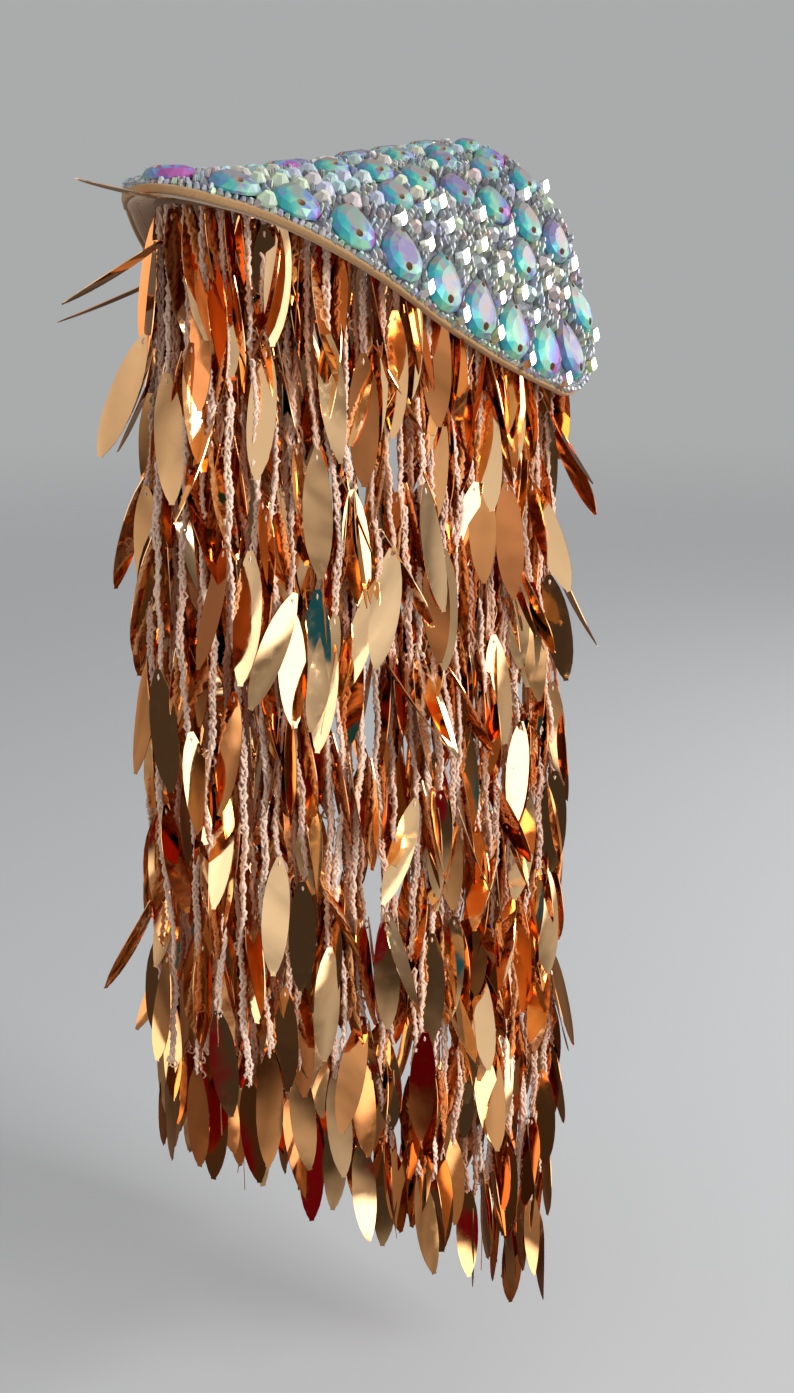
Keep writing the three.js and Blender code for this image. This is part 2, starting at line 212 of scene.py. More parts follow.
# Leaves that stand out in front: outer strand, drop and reach in millimetres, sideways lean in degrees, and
# what each mirrors to the viewer.
NOTED_LEAVES = (
    (5, 134, 4, -25, "window"),
    (3, 122, 3, 2, "wall"),
    (16, 66, 3, -12, "window"),
    (22, 52, 8, 26, "wall"),
    (23, 90, 3, 12, "floor"),
    (17, 126, 3, 6, "window"),
    (10, 30, 3, -4, "wall"),
    (5, 0, 3, 1, "wall"),
    (4, 6, 3, 0, "floor"),
    (14, 18, 3, -4, "wall"),
    (9, 122, 3, -11, "wall"),
    (0, 194, 3, 4, "window"),
    (13, 198, 3, -1, "red"),
    (9, 262, 3, 1, "red"),
    (23, 178, 3, 1, "floor"),
    (23, 266, 3, 6, "wall"),
    (16, 276, 3, 16, "wall"),
    (5, 250, 3, -1, "floor"),
    (8, 90, 3, 5, "window"),
    (4, 48, 3, -3, "wall"),
    (23, 226, 3, -1, "window"),
    (6, 132, 3, 1, "blue"),
    (20, 158, 3, -4, "window"),
    (7, 146, 3, 2, "wall"),
    (11, 206, 3, -9, "wall"),
    (21, 96, 3, 0, "red"),
    (12, 1, 3, 2, "wall"),
    (15, 2, 3, 12, "wall"),
    (18, 26, 3, 8, "wall"),
    (20, 4, 3, 6, "wall"),
)


def colour_property(name, description, default):
    return FloatVectorProperty(
        name=name, description=description, subtype="COLOR", size=3, min=0, max=1, default=default
    )


def length_property(name, description, millimetres):
    return FloatProperty(
        name=name, description=description, subtype="DISTANCE", unit="LENGTH", default=millimetres * MM
    )


def share_property(name, description, share):
    return FloatProperty(name=name, description=description, subtype="FACTOR", default=share)


def power_property(name, description, watts):
    return FloatProperty(name=name, description=description, unit="POWER", default=watts)


def seed_property(start):
    return IntProperty(name="Seed", description="Start of the random draws", default=start)


class CapSettings(bpy.types.PropertyGroup):
    """Sizes and colours of the felt cap, its lining and its pad."""

    felt_colour: colour_property("Felt", "Colour of the bare felt edge", (0.44, 0.245, 0.10))
    satin_colour: colour_property("Satin", "Colour of the lining", (0.66, 0.50, 0.35))
    pad_colour: colour_property("Pad", "Colour of the fastening pad", (0.62, 0.55, 0.46))
    stitch_pitch: length_property("Stitch pitch", "Distance between two stitches of the lining", 4.2)
    stitch_inset: length_property("Stitch inset", "Distance of the stitches from the edge", 4.5)
    loop_spacing: length_property("Loop spacing", "Distance between the loops of the pad", 1.15)
    pad_length: length_property("Pad length", "Length of the pad along the ridge", 40)
    pad_width: length_property("Pad width", "Width of the pad across the ridge", 24)


class StoneSettings(bpy.types.PropertyGroup):
    """Sizes of the crystals that cover the cap."""

    chip_spacing: length_property("Chip spacing", "Distance between the small crystals along the ridge", 1.7)
    chip_row: length_property("Chip rows", "Distance between the small crystals down the slope", 4.2)
    chip_clearance: length_property("Clearance", "Room kept between small crystals and drop stones", 0.5)
    rim_pitch: length_property("Rim pitch", "Distance between the crystals of the rim", 2.7)
    bed_colour: colour_property("Bed", "Colour of the glue bed between the crystals", (0.10, 0.105, 0.115))
    seed: seed_property(11)


class FringeSettings(bpy.types.PropertyGroup):
    """Sizes and colours of the yarn strands and the leaf sequins."""

    strand_spacing: length_property("Strand spacing", "Distance between strands along one row", 8.2)
    length_at_tip: length_property("Length at tip", "Drop of the fringe at the outer tip", 383)
    length_at_corner: length_property("Length at corner", "Drop of the fringe at the corners", 458)
    length_scatter: length_property("Length scatter", "How far single strands differ in length", 15)
    drape_at_tip: length_property("Drape at tip", "How far the strands of the tip swing outwards", 12)
    drape_at_corner: length_property("Drape at corner", "How far the strands of the corners swing out", 5)
    yarn_width: length_property("Yarn width", "Width of the plaited yarn", 3.2)
    yarn_colour: colour_property("Yarn", "Colour of the yarn", (0.93, 0.74, 0.61))
    tape_colour: colour_property("Tape", "Colour of the header tape", (0.30, 0.17, 0.10))
    leaf_length: length_property("Leaf length", "Length of a leaf sequin", 47)
    leaf_width: length_property("Leaf width", "Width of a leaf sequin", 11)
    leaf_pitch: length_property("Leaf pitch", "Distance between the leaves of a strand", 55)
    edge_share: share_property("Edge-on", "Share of the leaves that hang edge-on", 0.64)
    pair_share: share_property("Pairs", "Share of places that hold two leaves", 0.5)
    leaf_colour: colour_property("Leaf", "Colour of the mirror film", (0.96, 0.63, 0.34))
    seed: seed_property(5)


class StageSettings(bpy.types.PropertyGroup):
    """The floor and the lights."""

    floor_drop: length_property("Floor drop", "Distance of the floor below the fringe", 60)
    floor_colour: colour_property("Floor", "Colour of the floor", (0.42, 0.425, 0.43))
    wall_colour: colour_property("Wall", "Colour behind the object", (0.40, 0.41, 0.412))
    key_power: power_property("Key light", "Power of the main light", 34)
    side_power: power_property("Side light", "Power of the side light", 22)
    fill_power: power_property("Fill light", "Power of the soft light", 5)


class Value:
    """One socket of a node tree, which can be used in sums with other sockets and numbers."""

    def __init__(self, tree, socket):
        self.tree = tree
        self.socket = socket

    def output(self, name):
        """Another output of the same node."""
        return Value(self.tree, self.socket.node.outputs[name])

    def joined(self, operation, other, reflected=False):
        pair = {0: other, 1: self} if reflected else {0: self, 1: other}
        return self.tree.node("ShaderNodeMath", {"operation": operation}, pair)

    def __add__(self, other):
        return self.joined("ADD", other)

    __radd__ = __add__

    def __sub__(self, other):
        return self.joined("SUBTRACT", other)

    def __rsub__(self, other):
        return self.joined("SUBTRACT", other, reflected=True)

    def __mul__(self, other):
        return self.joined("MULTIPLY", other)

    __rmul__ = __mul__

    def __truediv__(self, other):
        return self.joined("DIVIDE", other)

    def __rtruediv__(self, other):
        return self.joined("DIVIDE", other, reflected=True)


class Tree:
    """A node tree that is written as expressions."""

    def __init__(self, tree):
        self.tree = tree

    def node(self, kind, settings=None, sockets=None, out=0):
        """Adds a node: its settings are set first, then the values or links of its sockets."""
        made = self.tree.nodes.new(kind)
        for name, value in (settings or {}).items():
            if name == "stops":
                set_stops(made.color_ramp, value)
            else:
                setattr(made, name, value)
        for key, value in (sockets or {}).items():
            for single in value if isinstance(value, list) else [value]:
                if isinstance(single, Value):
                    self.tree.links.new(single.socket, made.inputs[key])
                else:
                    made.inputs[key].default_value = single
        return Value(self, made.outputs[out]) if made.outputs else made

    def function(self, operation, *values):
        """A Math node with one of its functions, such as SINE."""
        return self.node("ShaderNodeMath", {"operation": operation}, dict(enumerate(values)))

    def vector(self, operation, *values):
        return self.node("ShaderNodeVectorMath", {"operation": operation}, dict(enumerate(values)))

    def scaled(self, vector, factor):
        return self.node("ShaderNodeVectorMath", {"operation": "SCALE"}, {0: vector, 3: factor})

    def dot(self, first, second):
        settings = {"operation": "DOT_PRODUCT"}
        return self.node("ShaderNodeVectorMath", settings, {0: first, 1: second}, out="Value")

    def smooth(self, value, low, high):
        """0 below low, 1 above high and a smooth step between them."""
        settings = {"interpolation_type": "SMOOTHSTEP"}
        return self.node("ShaderNodeMapRange", settings, {0: value, 1: low, 2: high})


class ShaderTree(Tree):
    """A material's or the world's nodes."""

    def place(self, scale=(1, 1, 1)):
        spot = self.node("ShaderNodeTexCoord", out="Object")
        return self.node("ShaderNodeMapping", {}, {"Vector": spot, "Scale": scale})

    def noise(self, place, scale, detail=2.0, roughness=0.5):
        sockets = {"Vector": place, "Scale": scale, "Detail": detail, "Roughness": roughness}
        return self.node("ShaderNodeTexNoise", {}, sockets)

    def mark(self, name):
        """A number that the piece's own attribute holds."""
        return self.node("ShaderNodeAttribute", {"attribute_name": name}, out="Fac")

    def ramp(self, value, stops):
        return self.node("ShaderNodeValToRGB", {"stops": stops}, {0: value})

    def mix(self, factor, first, second, blend="MIX"):
        settings = {"data_type": "RGBA", "blend_type": blend}
        first, second = (with_alpha(c) for c in (first, second))
        return self.node("ShaderNodeMix", settings, {0: factor, 6: first, 7: second}, out=2)

    def bump(self, height, strength, distance):
        sockets = {"Strength": strength, "Distance": distance, "Height": height}
        return self.node("ShaderNodeBump", {}, sockets)


class PieceTree(Tree):
    """A Geometry Nodes tree with named inputs."""

    SOCKETS = {float: "NodeSocketFloat", int: "NodeSocketInt"}

    def __init__(self, name, inputs):
        super().__init__(bpy.data.node_groups.new(name, "GeometryNodeTree"))
        face = self.tree.interface
        face.new_socket("Geometry", in_out="INPUT", socket_type="NodeSocketGeometry")
        face.new_socket("Geometry", in_out="OUTPUT", socket_type="NodeSocketGeometry")
        self.values = inputs
        self.identifiers = {}
        for label, value in inputs.items():
            kind = self.SOCKETS.get(type(value)) or "NodeSocket" + value.bl_rna.identifier
            self.identifiers[label] = face.new_socket(label, in_out="INPUT", socket_type=kind).identifier
        self.entry = self.tree.nodes.new("NodeGroupInput")

    def given(self, label):
        return Value(self, self.entry.outputs[label])

    def mark(self, name, kind="FLOAT"):
        return self.node("GeometryNodeInputNamedAttribute", {"data_type": kind}, {"Name": name})

    def random(self, low, high, salt):
        """A random number for each point, by the tree's seed and a salt."""
        sockets = {2: low, 3: high, "Seed": self.given("Seed") + salt}
        return self.node("FunctionNodeRandomValue", {"data_type": "FLOAT"}, sockets, out=1)

    def shape(self, label):
        return self.node("GeometryNodeObjectInfo", {}, {"Object": self.given(label)}, out="Geometry")

    def close(self, geometry):
        """Realizes the instances, gives them the material and ends the tree."""
        solid = self.node("GeometryNodeRealizeInstances", {}, {0: geometry})
        done = self.node("GeometryNodeSetMaterial", {}, {0: solid, "Material": self.given("Material")})
        self.node("NodeGroupOutput", {}, {0: done})

    def grow(self, name, base):
        """Runs the tree on a base mesh, removes the shapes it set and returns an object with a plain mesh."""
        holder = add_object(name + "_base", base)
        modifier = holder.modifiers.new("grow", "NODES")
        modifier.node_group = self.tree
        for label, value in self.values.items():
            modifier[self.identifiers[label]] = value
        mesh = evaluated_mesh(holder)
        shapes = [value for value in self.values.values() if isinstance(value, bpy.types.Object)]
        for spare in (holder, *shapes):
            bpy.data.objects.remove(spare)
        return add_object(name, mesh)


def with_alpha(colour):
    """A colour of three numbers as one of four; a socket stays as it is."""
    return colour if isinstance(colour, Value) else (*colour, 1.0)


def set_stops(ramp, stops):
    """Sets a colour ramp's stops, given as (position, colour)."""
    while len(ramp.elements) > 1:
        ramp.elements.remove(ramp.elements[-1])
    ramp.elements[0].position, ramp.elements[0].color = stops[0][0], with_alpha(stops[0][1])
    for position, colour in stops[1:]:
        ramp.elements.new(position).color = with_alpha(colour)


def add_object(name, data):
    made = bpy.data.objects.new(name, data)
    bpy.context.scene.collection.objects.link(made)
    return made


def evaluated_mesh(holder):
    """The plain mesh that an object's modifiers give."""
    depsgraph = bpy.context.evaluated_depsgraph_get()
    return bpy.data.meshes.new_from_object(holder.evaluated_get(depsgraph), depsgraph=depsgraph)


def make_material(name, constants, paint):
    """A Principled material: constants go on its own sockets, and what paint(tree) returns is linked."""
    material = bpy.data.materials.new(name)
    material.use_nodes = True
    tree = ShaderTree(material.node_tree)
    shader = material.node_tree.nodes["Principled BSDF"]
    for socket, value in constants.items():
        shader.inputs[socket].default_value = value
    for socket, value in paint(tree).items():
        tree.tree.links.new(value.socket, shader.inputs[socket])
    return material


def keep(piece, replaced=()):
    """Makes an object a piece of the epaulette and the solids it stands for."""
    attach(piece, "root")
    if replaced:
        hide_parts(*replaced)
    return piece


def solid_mesh(name, points, faces, sharp_angle=None):
    """A mesh from points and faces, smooth but for edges above an angle, or flat without one."""
    mesh = bpy.data.meshes.new(name)
    mesh.from_pydata(np.asarray(points).reshape(-1, 3).tolist(), [], faces)
    mesh.update()
    if sharp_angle is not None:
        mesh.shade_smooth()
        mesh.set_sharp_from_angle(angle=sharp_angle)
    return mesh


def band(first, second, sides):
    """Faces between two rings of points, given by the number of each ring's first point."""
    return [[first + k, first + (k + 1) % sides, second + (k + 1) % sides, second + k] for k in range(sides)]


def mark_faces(mesh, name, values):
    """Gives a mesh an attribute with a number for each face."""
    mesh.attributes.new(name, "FLOAT", "FACE").data.foreach_set("value", np.asarray(values, np.float32))


def points_mesh(name, places, edges=(), **marks):
    """Loose points, or points on edges, with one attribute for each mark."""
    mesh = bpy.data.meshes.new(name)
    mesh.from_pydata(np.asarray(places).reshape(-1, 3).tolist(), list(edges), [])
    for label, values in marks.items():
        values = np.asarray(values)
        if values.ndim == 2:
            kind, field = "FLOAT_VECTOR", "vector"
        else:
            kind, field = ("INT", "value") if values.dtype.kind == "i" else ("FLOAT", "value")
        mesh.attributes.new(label, kind, "POINT").data.foreach_set(field, values.ravel())
    return mesh


def ridge_height(u):
    """Height of the ridge above its place over the origin."""
    outer = np.minimum(u, 0.0)
    return RIDGE_SLOPE * u + RIDGE_CURL * outer * outer


def on_cap(u, a, height):
    """Points of the flat pattern on the bent cap, at a height above the top face of the felt."""
    u, a, height = np.broadcast_arrays(u, a, height)
    bend = np.minimum(np.abs(a) / ARCH_RADIUS, WING_ANGLE)
    wing = np.maximum(np.abs(a) - ARCH_RADIUS * WING_ANGLE, 0.0)
    radius = ARCH_RADIUS + height
    y = radius * np.sin(bend) + wing * math.cos(WING_ANGLE)
    z = radius * np.cos(bend) - ARCH_RADIUS - wing * math.sin(WING_ANGLE)
    return np.stack([u, np.sign(a) * y, BASE_TOP + ridge_height(u) + z], axis=-1)


def outline_frame():
    """Centres of the tip and corner arcs, and the direction in which the side faces."""
    tip = np.array([TIP_U + TIP_RADIUS, 0.0])
    corner = np.array([NECK_U - CORNER_RADIUS, CORNER_A - CORNER_RADIUS])
    run = corner - tip
    lean = math.asin((TIP_RADIUS - CORNER_RADIUS) / np.linalg.norm(run))
    return tip, corner, math.atan2(run[1], run[0]) + math.pi / 2 - lean


def half_outline(inset, tip_steps, side_steps, corner_steps):
    """Half of the cap's outline, drawn in by an inset: round tip, bulged side and round corner."""
    tip, corner, facing = outline_frame()
    outward = np.array([math.cos(facing), math.sin(facing)])

    def arc(centre, radius, first, last, steps):
        turn = np.linspace(first, last, steps + 1)[:, None]
        return centre + radius * np.hstack([np.cos(turn), np.sin(turn)])

    start = tip + outward * (TIP_RADIUS - inset)
    end = corner + outward * (CORNER_RADIUS - inset)
    middle = (start + end) / 2 + outward * 2 * SIDE_BULGE
    t = np.linspace(0, 1, side_steps + 1)[:, None]
    side = (1 - t) ** 2 * start + 2 * t * (1 - t) * middle + t * t * end
    tip_arc = arc(tip, TIP_RADIUS - inset, math.pi, facing, tip_steps)
    corner_arc = arc(corner, CORNER_RADIUS - inset, facing, 0.0, corner_steps)
    return np.concatenate([tip_arc, side[1:], corner_arc[1:]]), tip_steps + side_steps


def lengths_along(line):
    """Distance of each point of a line from its start."""
    return np.concatenate([[0.0], np.cumsum(np.linalg.norm(np.diff(line, axis=0), axis=1))])


class OuterRun:
    """The run from the tip along the side, by distance from the ridge."""

    FINE = 240

    def __init__(self, inset):
        line, last = half_outline(inset, self.FINE, self.FINE, 1)
        self.line = line[: last + 1]
        self.along = lengths_along(self.line)

    def point(self, distance):
        return np.array([np.interp(distance, self.along, self.line[:, k]) for k in (0, 1)])

    def tangent(self, distance):
        probe = 0.4 * MM
        middle = np.clip(distance, probe, self.along[-1] - probe)
        step = self.point(middle + probe) - self.point(middle - probe)
        return step / np.linalg.norm(step)

    def inside(self, distance, inwards):
        """The point at a distance along the run and another inwards from it."""
        tangent = self.tangent(distance)
        return self.point(distance) + np.array([tangent[1], -tangent[0]]) * inwards


def cap_shell(name, layers, columns, steps, sharp_angle):
    """A closed wall on the cap. Layers are (inset, height), from the top face over the edge to the bottom."""
    across = np.linspace(-1, 1, columns + 1)
    points, loops, grids = [], [], []
    for level, (inset, height) in enumerate(layers):
        edge, _ = half_outline(inset, *steps)
        rows = on_cap(edge[1:, :1], edge[1:, 1:] * across, height)
        tip = on_cap(edge[0, 0], 0.0, height)
        start = len(points)
        count = len(rows)
        loop_rim = np.concatenate([[tip], rows[:, -1], rows[-1, -2:0:-1], rows[::-1, 0]])
        if level in (0, len(layers) - 1):
            points.extend([tip, *rows.reshape(-1, 3)])
            at = start + 1 + np.arange(count * (columns + 1)).reshape(count, columns + 1)
            loops.append([start, *at[:, -1], *at[-1, -2:0:-1], *at[::-1, 0]])
            grids.append((start, at))
        else:
            points.extend(loop_rim)
            loops.append(list(range(start, start + len(loop_rim))))
    faces = []
    for (tip, at), flip in zip(grids, (1, -1)):
        for c in range(columns):
            faces.append([tip, at[0, c], at[0, c + 1]][::flip])
        for r in range(len(at) - 1):
            for c in range(columns):
                faces.append([at[r, c], at[r + 1, c], at[r + 1, c + 1], at[r, c + 1]][::flip])
    for upper, lower in zip(loops, loops[1:]):
        for i, (p, q) in enumerate(zip(upper, lower)):
            j = (i + 1) % len(upper)
            faces.append([p, upper[j], lower[j], q])
    return solid_mesh(name, points, [[int(k) for k in f] for f in faces], sharp_angle)


def cap_frame(u, a, heading, height):
    """Place and turn on the cap of a thing that looks along a heading of the flat pattern."""
    probe = 0.5 * MM
    steps = ((0, 0), (probe, 0), (-probe, 0), (0, probe), (0, -probe))
    place, more_u, less_u, more_a, less_a = (Vector(on_cap(u + du, a + da, height)) for du, da in steps)
    along_u = (more_u - less_u).normalized()
    up = along_u.cross(more_a - less_a).normalized()
    across = up.cross(along_u)
    forward = along_u * math.cos(heading) + across * math.sin(heading)
    right = forward.cross(up)
    return place, Matrix((right, forward, up)).transposed().to_euler()


def seats(things, base, height):
    """Places, turns and sizes of things of one height that stand on the cap."""
    frames = [cap_frame(t["u"], t["a"], t["heading"], base) for t in things]
    sizes = [(t["width"], t["length"], height) for t in things]
    return [place for place, _ in frames], [turn for _, turn in frames], sizes


def shaded(colour, *shares):
    """A colour times one share, or times a share for each of its three parts."""
    each = shares * 3 if len(shares) == 1 else shares
    return tuple(min(c * share, 1) for c, share in zip(colour, each))


def felt_finish(colour):
    def paint(tree):
        spot = tree.place()
        fibres = tree.noise(spot, 1400, 5, 0.65)
        blotch = tree.noise(spot, 90)
        dark, light = shaded(colour, 0.62), shaded(colour, 1.22)
        shade = tree.mix(0.25 + 0.5 * fibres + 0.35 * (blotch - 0.5), dark, light)
        return {"Base Color": shade, "Normal": tree.bump(fibres, 0.7, 0.5 * MM)}

    return make_material("bare_felt", {"Roughness": 0.92, "Sheen Weight": 0.25}, paint)


def satin_finish(colour):
    def paint(tree):
        spot = tree.place()
        warp = tree.noise(tree.place((2600, 260, 260)), 1, 1)
        weft = tree.noise(tree.place((260, 2600, 2600)), 1, 1)
        weave = 0.6 * warp + 0.4 * weft
        cloud = tree.noise(spot, 55, 3)
        dark = shaded(colour, 0.78)
        shade = tree.mix(0.45 + 0.5 * (weave - 0.5) + 0.6 * (cloud - 0.5), dark, colour)
        return {
            "Base Color": shade,
            "Roughness": 0.36 + 0.2 * cloud,
            "Normal": tree.bump(weave, 0.25, 0.2 * MM),
        }

    return make_material("satin_lining", {"Sheen Weight": 0.2, "Specular IOR Level": 0.6}, paint)


def pile_finish(colour):
    def paint(tree):
        weave = tree.noise(tree.place(), 1700, 3)
        dark = shaded(colour, 0.6)
        return {"Base Color": tree.mix(weave, dark, colour), "Normal": tree.bump(weave, 0.5, 0.3 * MM)}

    return make_material("pad_pile", {"Roughness": 0.9, "Sheen Weight": 0.3}, paint)


def thread_finish(name, colour):
    def paint(tree):
        twist = tree.noise(tree.place(), 2600, 2)
        dark = shaded(colour, 0.55)
        return {"Base Color": tree.mix(twist, dark, colour), "Normal": tree.bump(twist, 0.4, 0.15 * MM)}

    return make_material(name, {"Roughness": 0.7, "Sheen Weight": 0.2}, paint)


def bed_finish(colour):
    def paint(tree):
        grit = tree.noise(tree.place(), 1500, 3, 0.7)
        pale = shaded(colour, 3.4)
        return {
            "Base Color": tree.mix(tree.smooth(grit, 0.45, 0.7), colour, pale),
            "Roughness": 0.25 + 0.4 * grit,
            "Normal": tree.bump(grit, 0.8, 0.5 * MM),
        }

    return make_material("glue_bed", {"Metallic": 0.5}, paint)


# Tints of the drop stones' rainbow coating, painted as its reflection: the first for the flanks, the second,
# greyer, for the middle.
STONE_TINTS = (
    (0.00, (0.10, 0.21, 0.40)),
    (0.14, (0.03, 0.27, 0.33)),
    (0.28, (0.03, 0.32, 0.32)),
    (0.42, (0.12, 0.42, 0.32)),
    (0.56, (0.20, 0.42, 0.27)),
    (0.68, (0.24, 0.34, 0.34)),
    (0.80, (0.12, 0.24, 0.42)),
    (0.92, (0.15, 0.12, 0.40)),
    (1.00, (0.28, 0.06, 0.24)),
)
STONE_INNER_TINTS = (
    (0.00, (0.17, 0.14, 0.27)),
    (0.16, (0.22, 0.22, 0.25)),
    (0.30, (0.29, 0.20, 0.18)),
    (0.44, (0.20, 0.24, 0.235)),
    (0.58, (0.14, 0.28, 0.21)),
    (0.72, (0.28, 0.20, 0.19)),
    (0.86, (0.20, 0.25, 0.235)),
    (1.00, (0.06, 0.28, 0.29)),
)
HOLE_BROWN = (0.44, 0.27, 0.17)
CHIP_TINTS = (
    (0.00, (0.14, 0.15, 0.16)),
    (0.14, (0.34, 0.35, 0.37)),
    (0.28, (0.56, 0.58, 0.60)),
    (0.38, (0.70, 0.72, 0.72)),
    (0.48, (0.52, 0.58, 0.55)),
    (0.60, (0.48, 0.42, 0.62)),
    (0.70, (0.34, 0.58, 0.56)),
    (0.80, (0.66, 0.45, 0.45)),
    (0.90, (0.48, 0.66, 0.44)),
    (1.00, (0.68, 0.65, 0.46)),
)


def stone_finish():
    """Foiled glass with a rainbow coating, painted as reflection: tints sweep across each stone and shift on
    each facet.
    """

    def paint(tree):
        spot = tree.node("ShaderNodeAttribute", {"attribute_name": "spot"}, out="Vector")
        side = tree.node("ShaderNodeSeparateXYZ", {}, {0: spot})
        end = side.output("Y")
        cloud = tree.noise(tree.place(), 95, 2)
        facet = tree.mark("tint")
        # Painted reflection: the tint follows the side of the stone and the facet, in place of the coating's
        # colours that change with the angle.
        outer = tree.ramp(0.5 - 0.85 * side + 0.8 * (cloud - 0.5) + 0.45 * facet, STONE_TINTS)
        inner = tree.ramp(0.5 + 1.6 * (cloud - 0.5) + 1.0 * facet, STONE_INNER_TINTS)
        flank = tree.function("ABSOLUTE", side) * 1.3 + end * 0.8 + 0.7 * (cloud - 0.5) + 0.45 * facet
        colour = tree.mix(tree.smooth(flank, 0.10, 0.50), inner, outer)
        brown = tree.mix(tree.mark("hole"), colour, HOLE_BROWN)
        return {"Base Color": brown, "Roughness": 0.36 + 0.2 * cloud}

    constants = {"Metallic": 0.15, "Coat Weight": 0.12, "Coat Roughness": 0.15, "Specular IOR Level": 0.3}
    return make_material("rainbow_stone", constants, paint)


def chip_finish():
    """Small foiled crystals, silver with a few pastel ones, their facets painted lit or dark as reflection.
    """

    def paint(tree):
        cloud = tree.noise(tree.place(), 420, 1)
        colour = tree.ramp(tree.mark("tint"), CHIP_TINTS)
        # Painted reflection: each facet's mark mixes the tint towards dark grey, so facets look lit or dark
        # whatever the light.
        shade = tree.mix(tree.mark("facet"), (0.16, 0.165, 0.17), colour)
        return {"Base Color": shade, "Roughness": 0.4 + 0.24 * cloud}

    constants = {"Metallic": 0.15, "Coat Weight": 0.1, "Coat Roughness": 0.15}
    return make_material("crystal_chip", constants, paint)


KITE_TINTS = (
    (0.0, (0.97, 0.97, 0.95)),
    (0.5, (0.96, 0.95, 0.90)),
    (0.8, (0.86, 0.72, 0.36)),
    (1.0, (0.62, 0.72, 0.74)),
)


def kite_finish():
    """Bright silver foil under clear glass."""

    def paint(tree):
        cloud = tree.noise(tree.place(), 300, 1)
        return {
            "Base Color": tree.ramp(tree.mark("tint"), KITE_TINTS),
            "Roughness": 0.05 + 0.12 * cloud,
        }

    return make_material("bright_kite", {"Metallic": 0.9, "Coat Weight": 0.5, "Coat Roughness": 0.03}, paint)


def yarn_finish(colour):
    def paint(tree):
        fibres = tree.noise(tree.place((1, 1, 0.3)), 2400, 3, 0.7)
        patches = tree.noise(tree.place(), 70, 2)
        dark, light = shaded(colour, 0.60, 0.41, 0.30), shaded(colour, 1.05)
        # Painted shade and bounce light: the yarn darker and coppery, as if in shade inside the fringe with
        # warm light from the leaves.
        painted_warm_shade, deep = shaded(colour, 0.58, 0.28, 0.14), shaded(colour, 0.36, 0.14, 0.06)
        shade = tree.mix(0.15 + 0.85 * tree.smooth(fibres, 0.32, 0.66) + 0.5 * (patches - 0.5), dark, light)
        # The strand's shade mark blends in the painted shade colour, most of all on the inner row.
        shade = tree.mix(tree.mark("shade"), shade, tree.mix(fibres, deep, painted_warm_shade))
        return {"Base Color": shade, "Normal": tree.bump(fibres, 0.6, 0.3 * MM)}

    return make_material("champagne_yarn", {"Roughness": 0.78, "Sheen Weight": 0.08}, paint)


def leaf_finish(colour):
    """Mirror film: gold with slight waves and smudges, tinted through amber to deep copper, partly as painted
    reflection and shade.
    """

    def paint(tree):
        spot = tree.place()
        waves = tree.noise(spot, 45, 1)
        smudge = tree.noise(spot, 260, 3)
        amber, copper = shaded(colour, 0.95, 0.78, 0.62), shaded(colour, 0.84, 0.55, 0.36)
        deep = shaded(colour, 0.60, 0.30, 0.18)
        shades = ((0.0, tuple(colour)), (0.42, tuple(colour)), (0.55, amber), (0.75, copper), (1.0, deep))
        return {
            "Base Color": tree.ramp(tree.mark("tint"), shades),
            "Roughness": 0.05 + 0.1 * tree.smooth(smudge, 0.4, 0.75),
            "Normal": tree.bump(waves, 0.12, 4 * MM),
        }

    return make_material("mirror_gold", {"Metallic": 1.0}, paint)


def setting_tree(name, shapes, material, faceted):
    """A tree that sets shapes on points by their turn, size and kind. Facets can add their own tint, the
    stones' painted per-facet reflection.
    """
    inputs = {f"Shape {k + 1}": shape for k, shape in enumerate(shapes)}
    tree = PieceTree(name, {**inputs, "Scale": 1.0, "Material": material})
    picks = [tree.node("GeometryNodeGeometryToInstance", {}, {0: tree.shape(label)}) for label in inputs]
    sockets = {
        "Points": tree.given("Geometry"),
        "Instance": tree.node("GeometryNodeJoinGeometry", {}, {0: picks[::-1]}),
        "Pick Instance": True,
        "Instance Index": tree.mark("kind", "INT"),
        "Rotation": tree.node("FunctionNodeEulerToRotation", {}, {0: tree.mark("turn", "FLOAT_VECTOR")}),
        "Scale": tree.scaled(tree.mark("size", "FLOAT_VECTOR"), tree.given("Scale")),
    }
    placed = tree.node("GeometryNodeInstanceOnPoints", {}, sockets)
    if faceted:
        solid = tree.node("GeometryNodeRealizeInstances", {}, {0: placed})
        tint = tree.mark("facet") + tree.mark("shift")
        placed = tree.node(
            "GeometryNodeStoreNamedAttribute", {"data_type": "FLOAT", "domain": "FACE"},
            {"Geometry": solid, "Name": "tint", "Value": tint},
        )
    tree.close(placed)
    return tree


def set_on_points(name, shapes, material, places, turns, sizes, kinds, tints, faceted=False):
    """A piece with shapes set on points."""
    marks = {
        "turn": np.array(turns, np.float32),
        "size": np.array(sizes, np.float32),
        "kind": np.array(kinds, np.int32),
        "shift" if faceted else "tint": np.array(tints, np.float32),
    }
    base = points_mesh(name, places, **marks)
    holders = [add_object(mesh.name, mesh) for mesh in shapes]
    return setting_tree(name, holders, material, faceted).grow(name, base)


def drop_ring(sides, scale, height, half_step):
    """A ring of a drop of unit width, length and height, its wide end to +Y."""
    turn = (np.arange(sides) + half_step) / sides * 2 * math.pi
    x = 0.5 * np.sin(turn) * np.abs(np.sin(turn / 2)) ** 0.6 / DROP_BROADEST
    y = -0.5 * np.cos(turn)
    shift = (1 - scale) * 0.08
    return np.stack([x * scale, y * scale + shift, np.full(sides, height)], axis=-1)


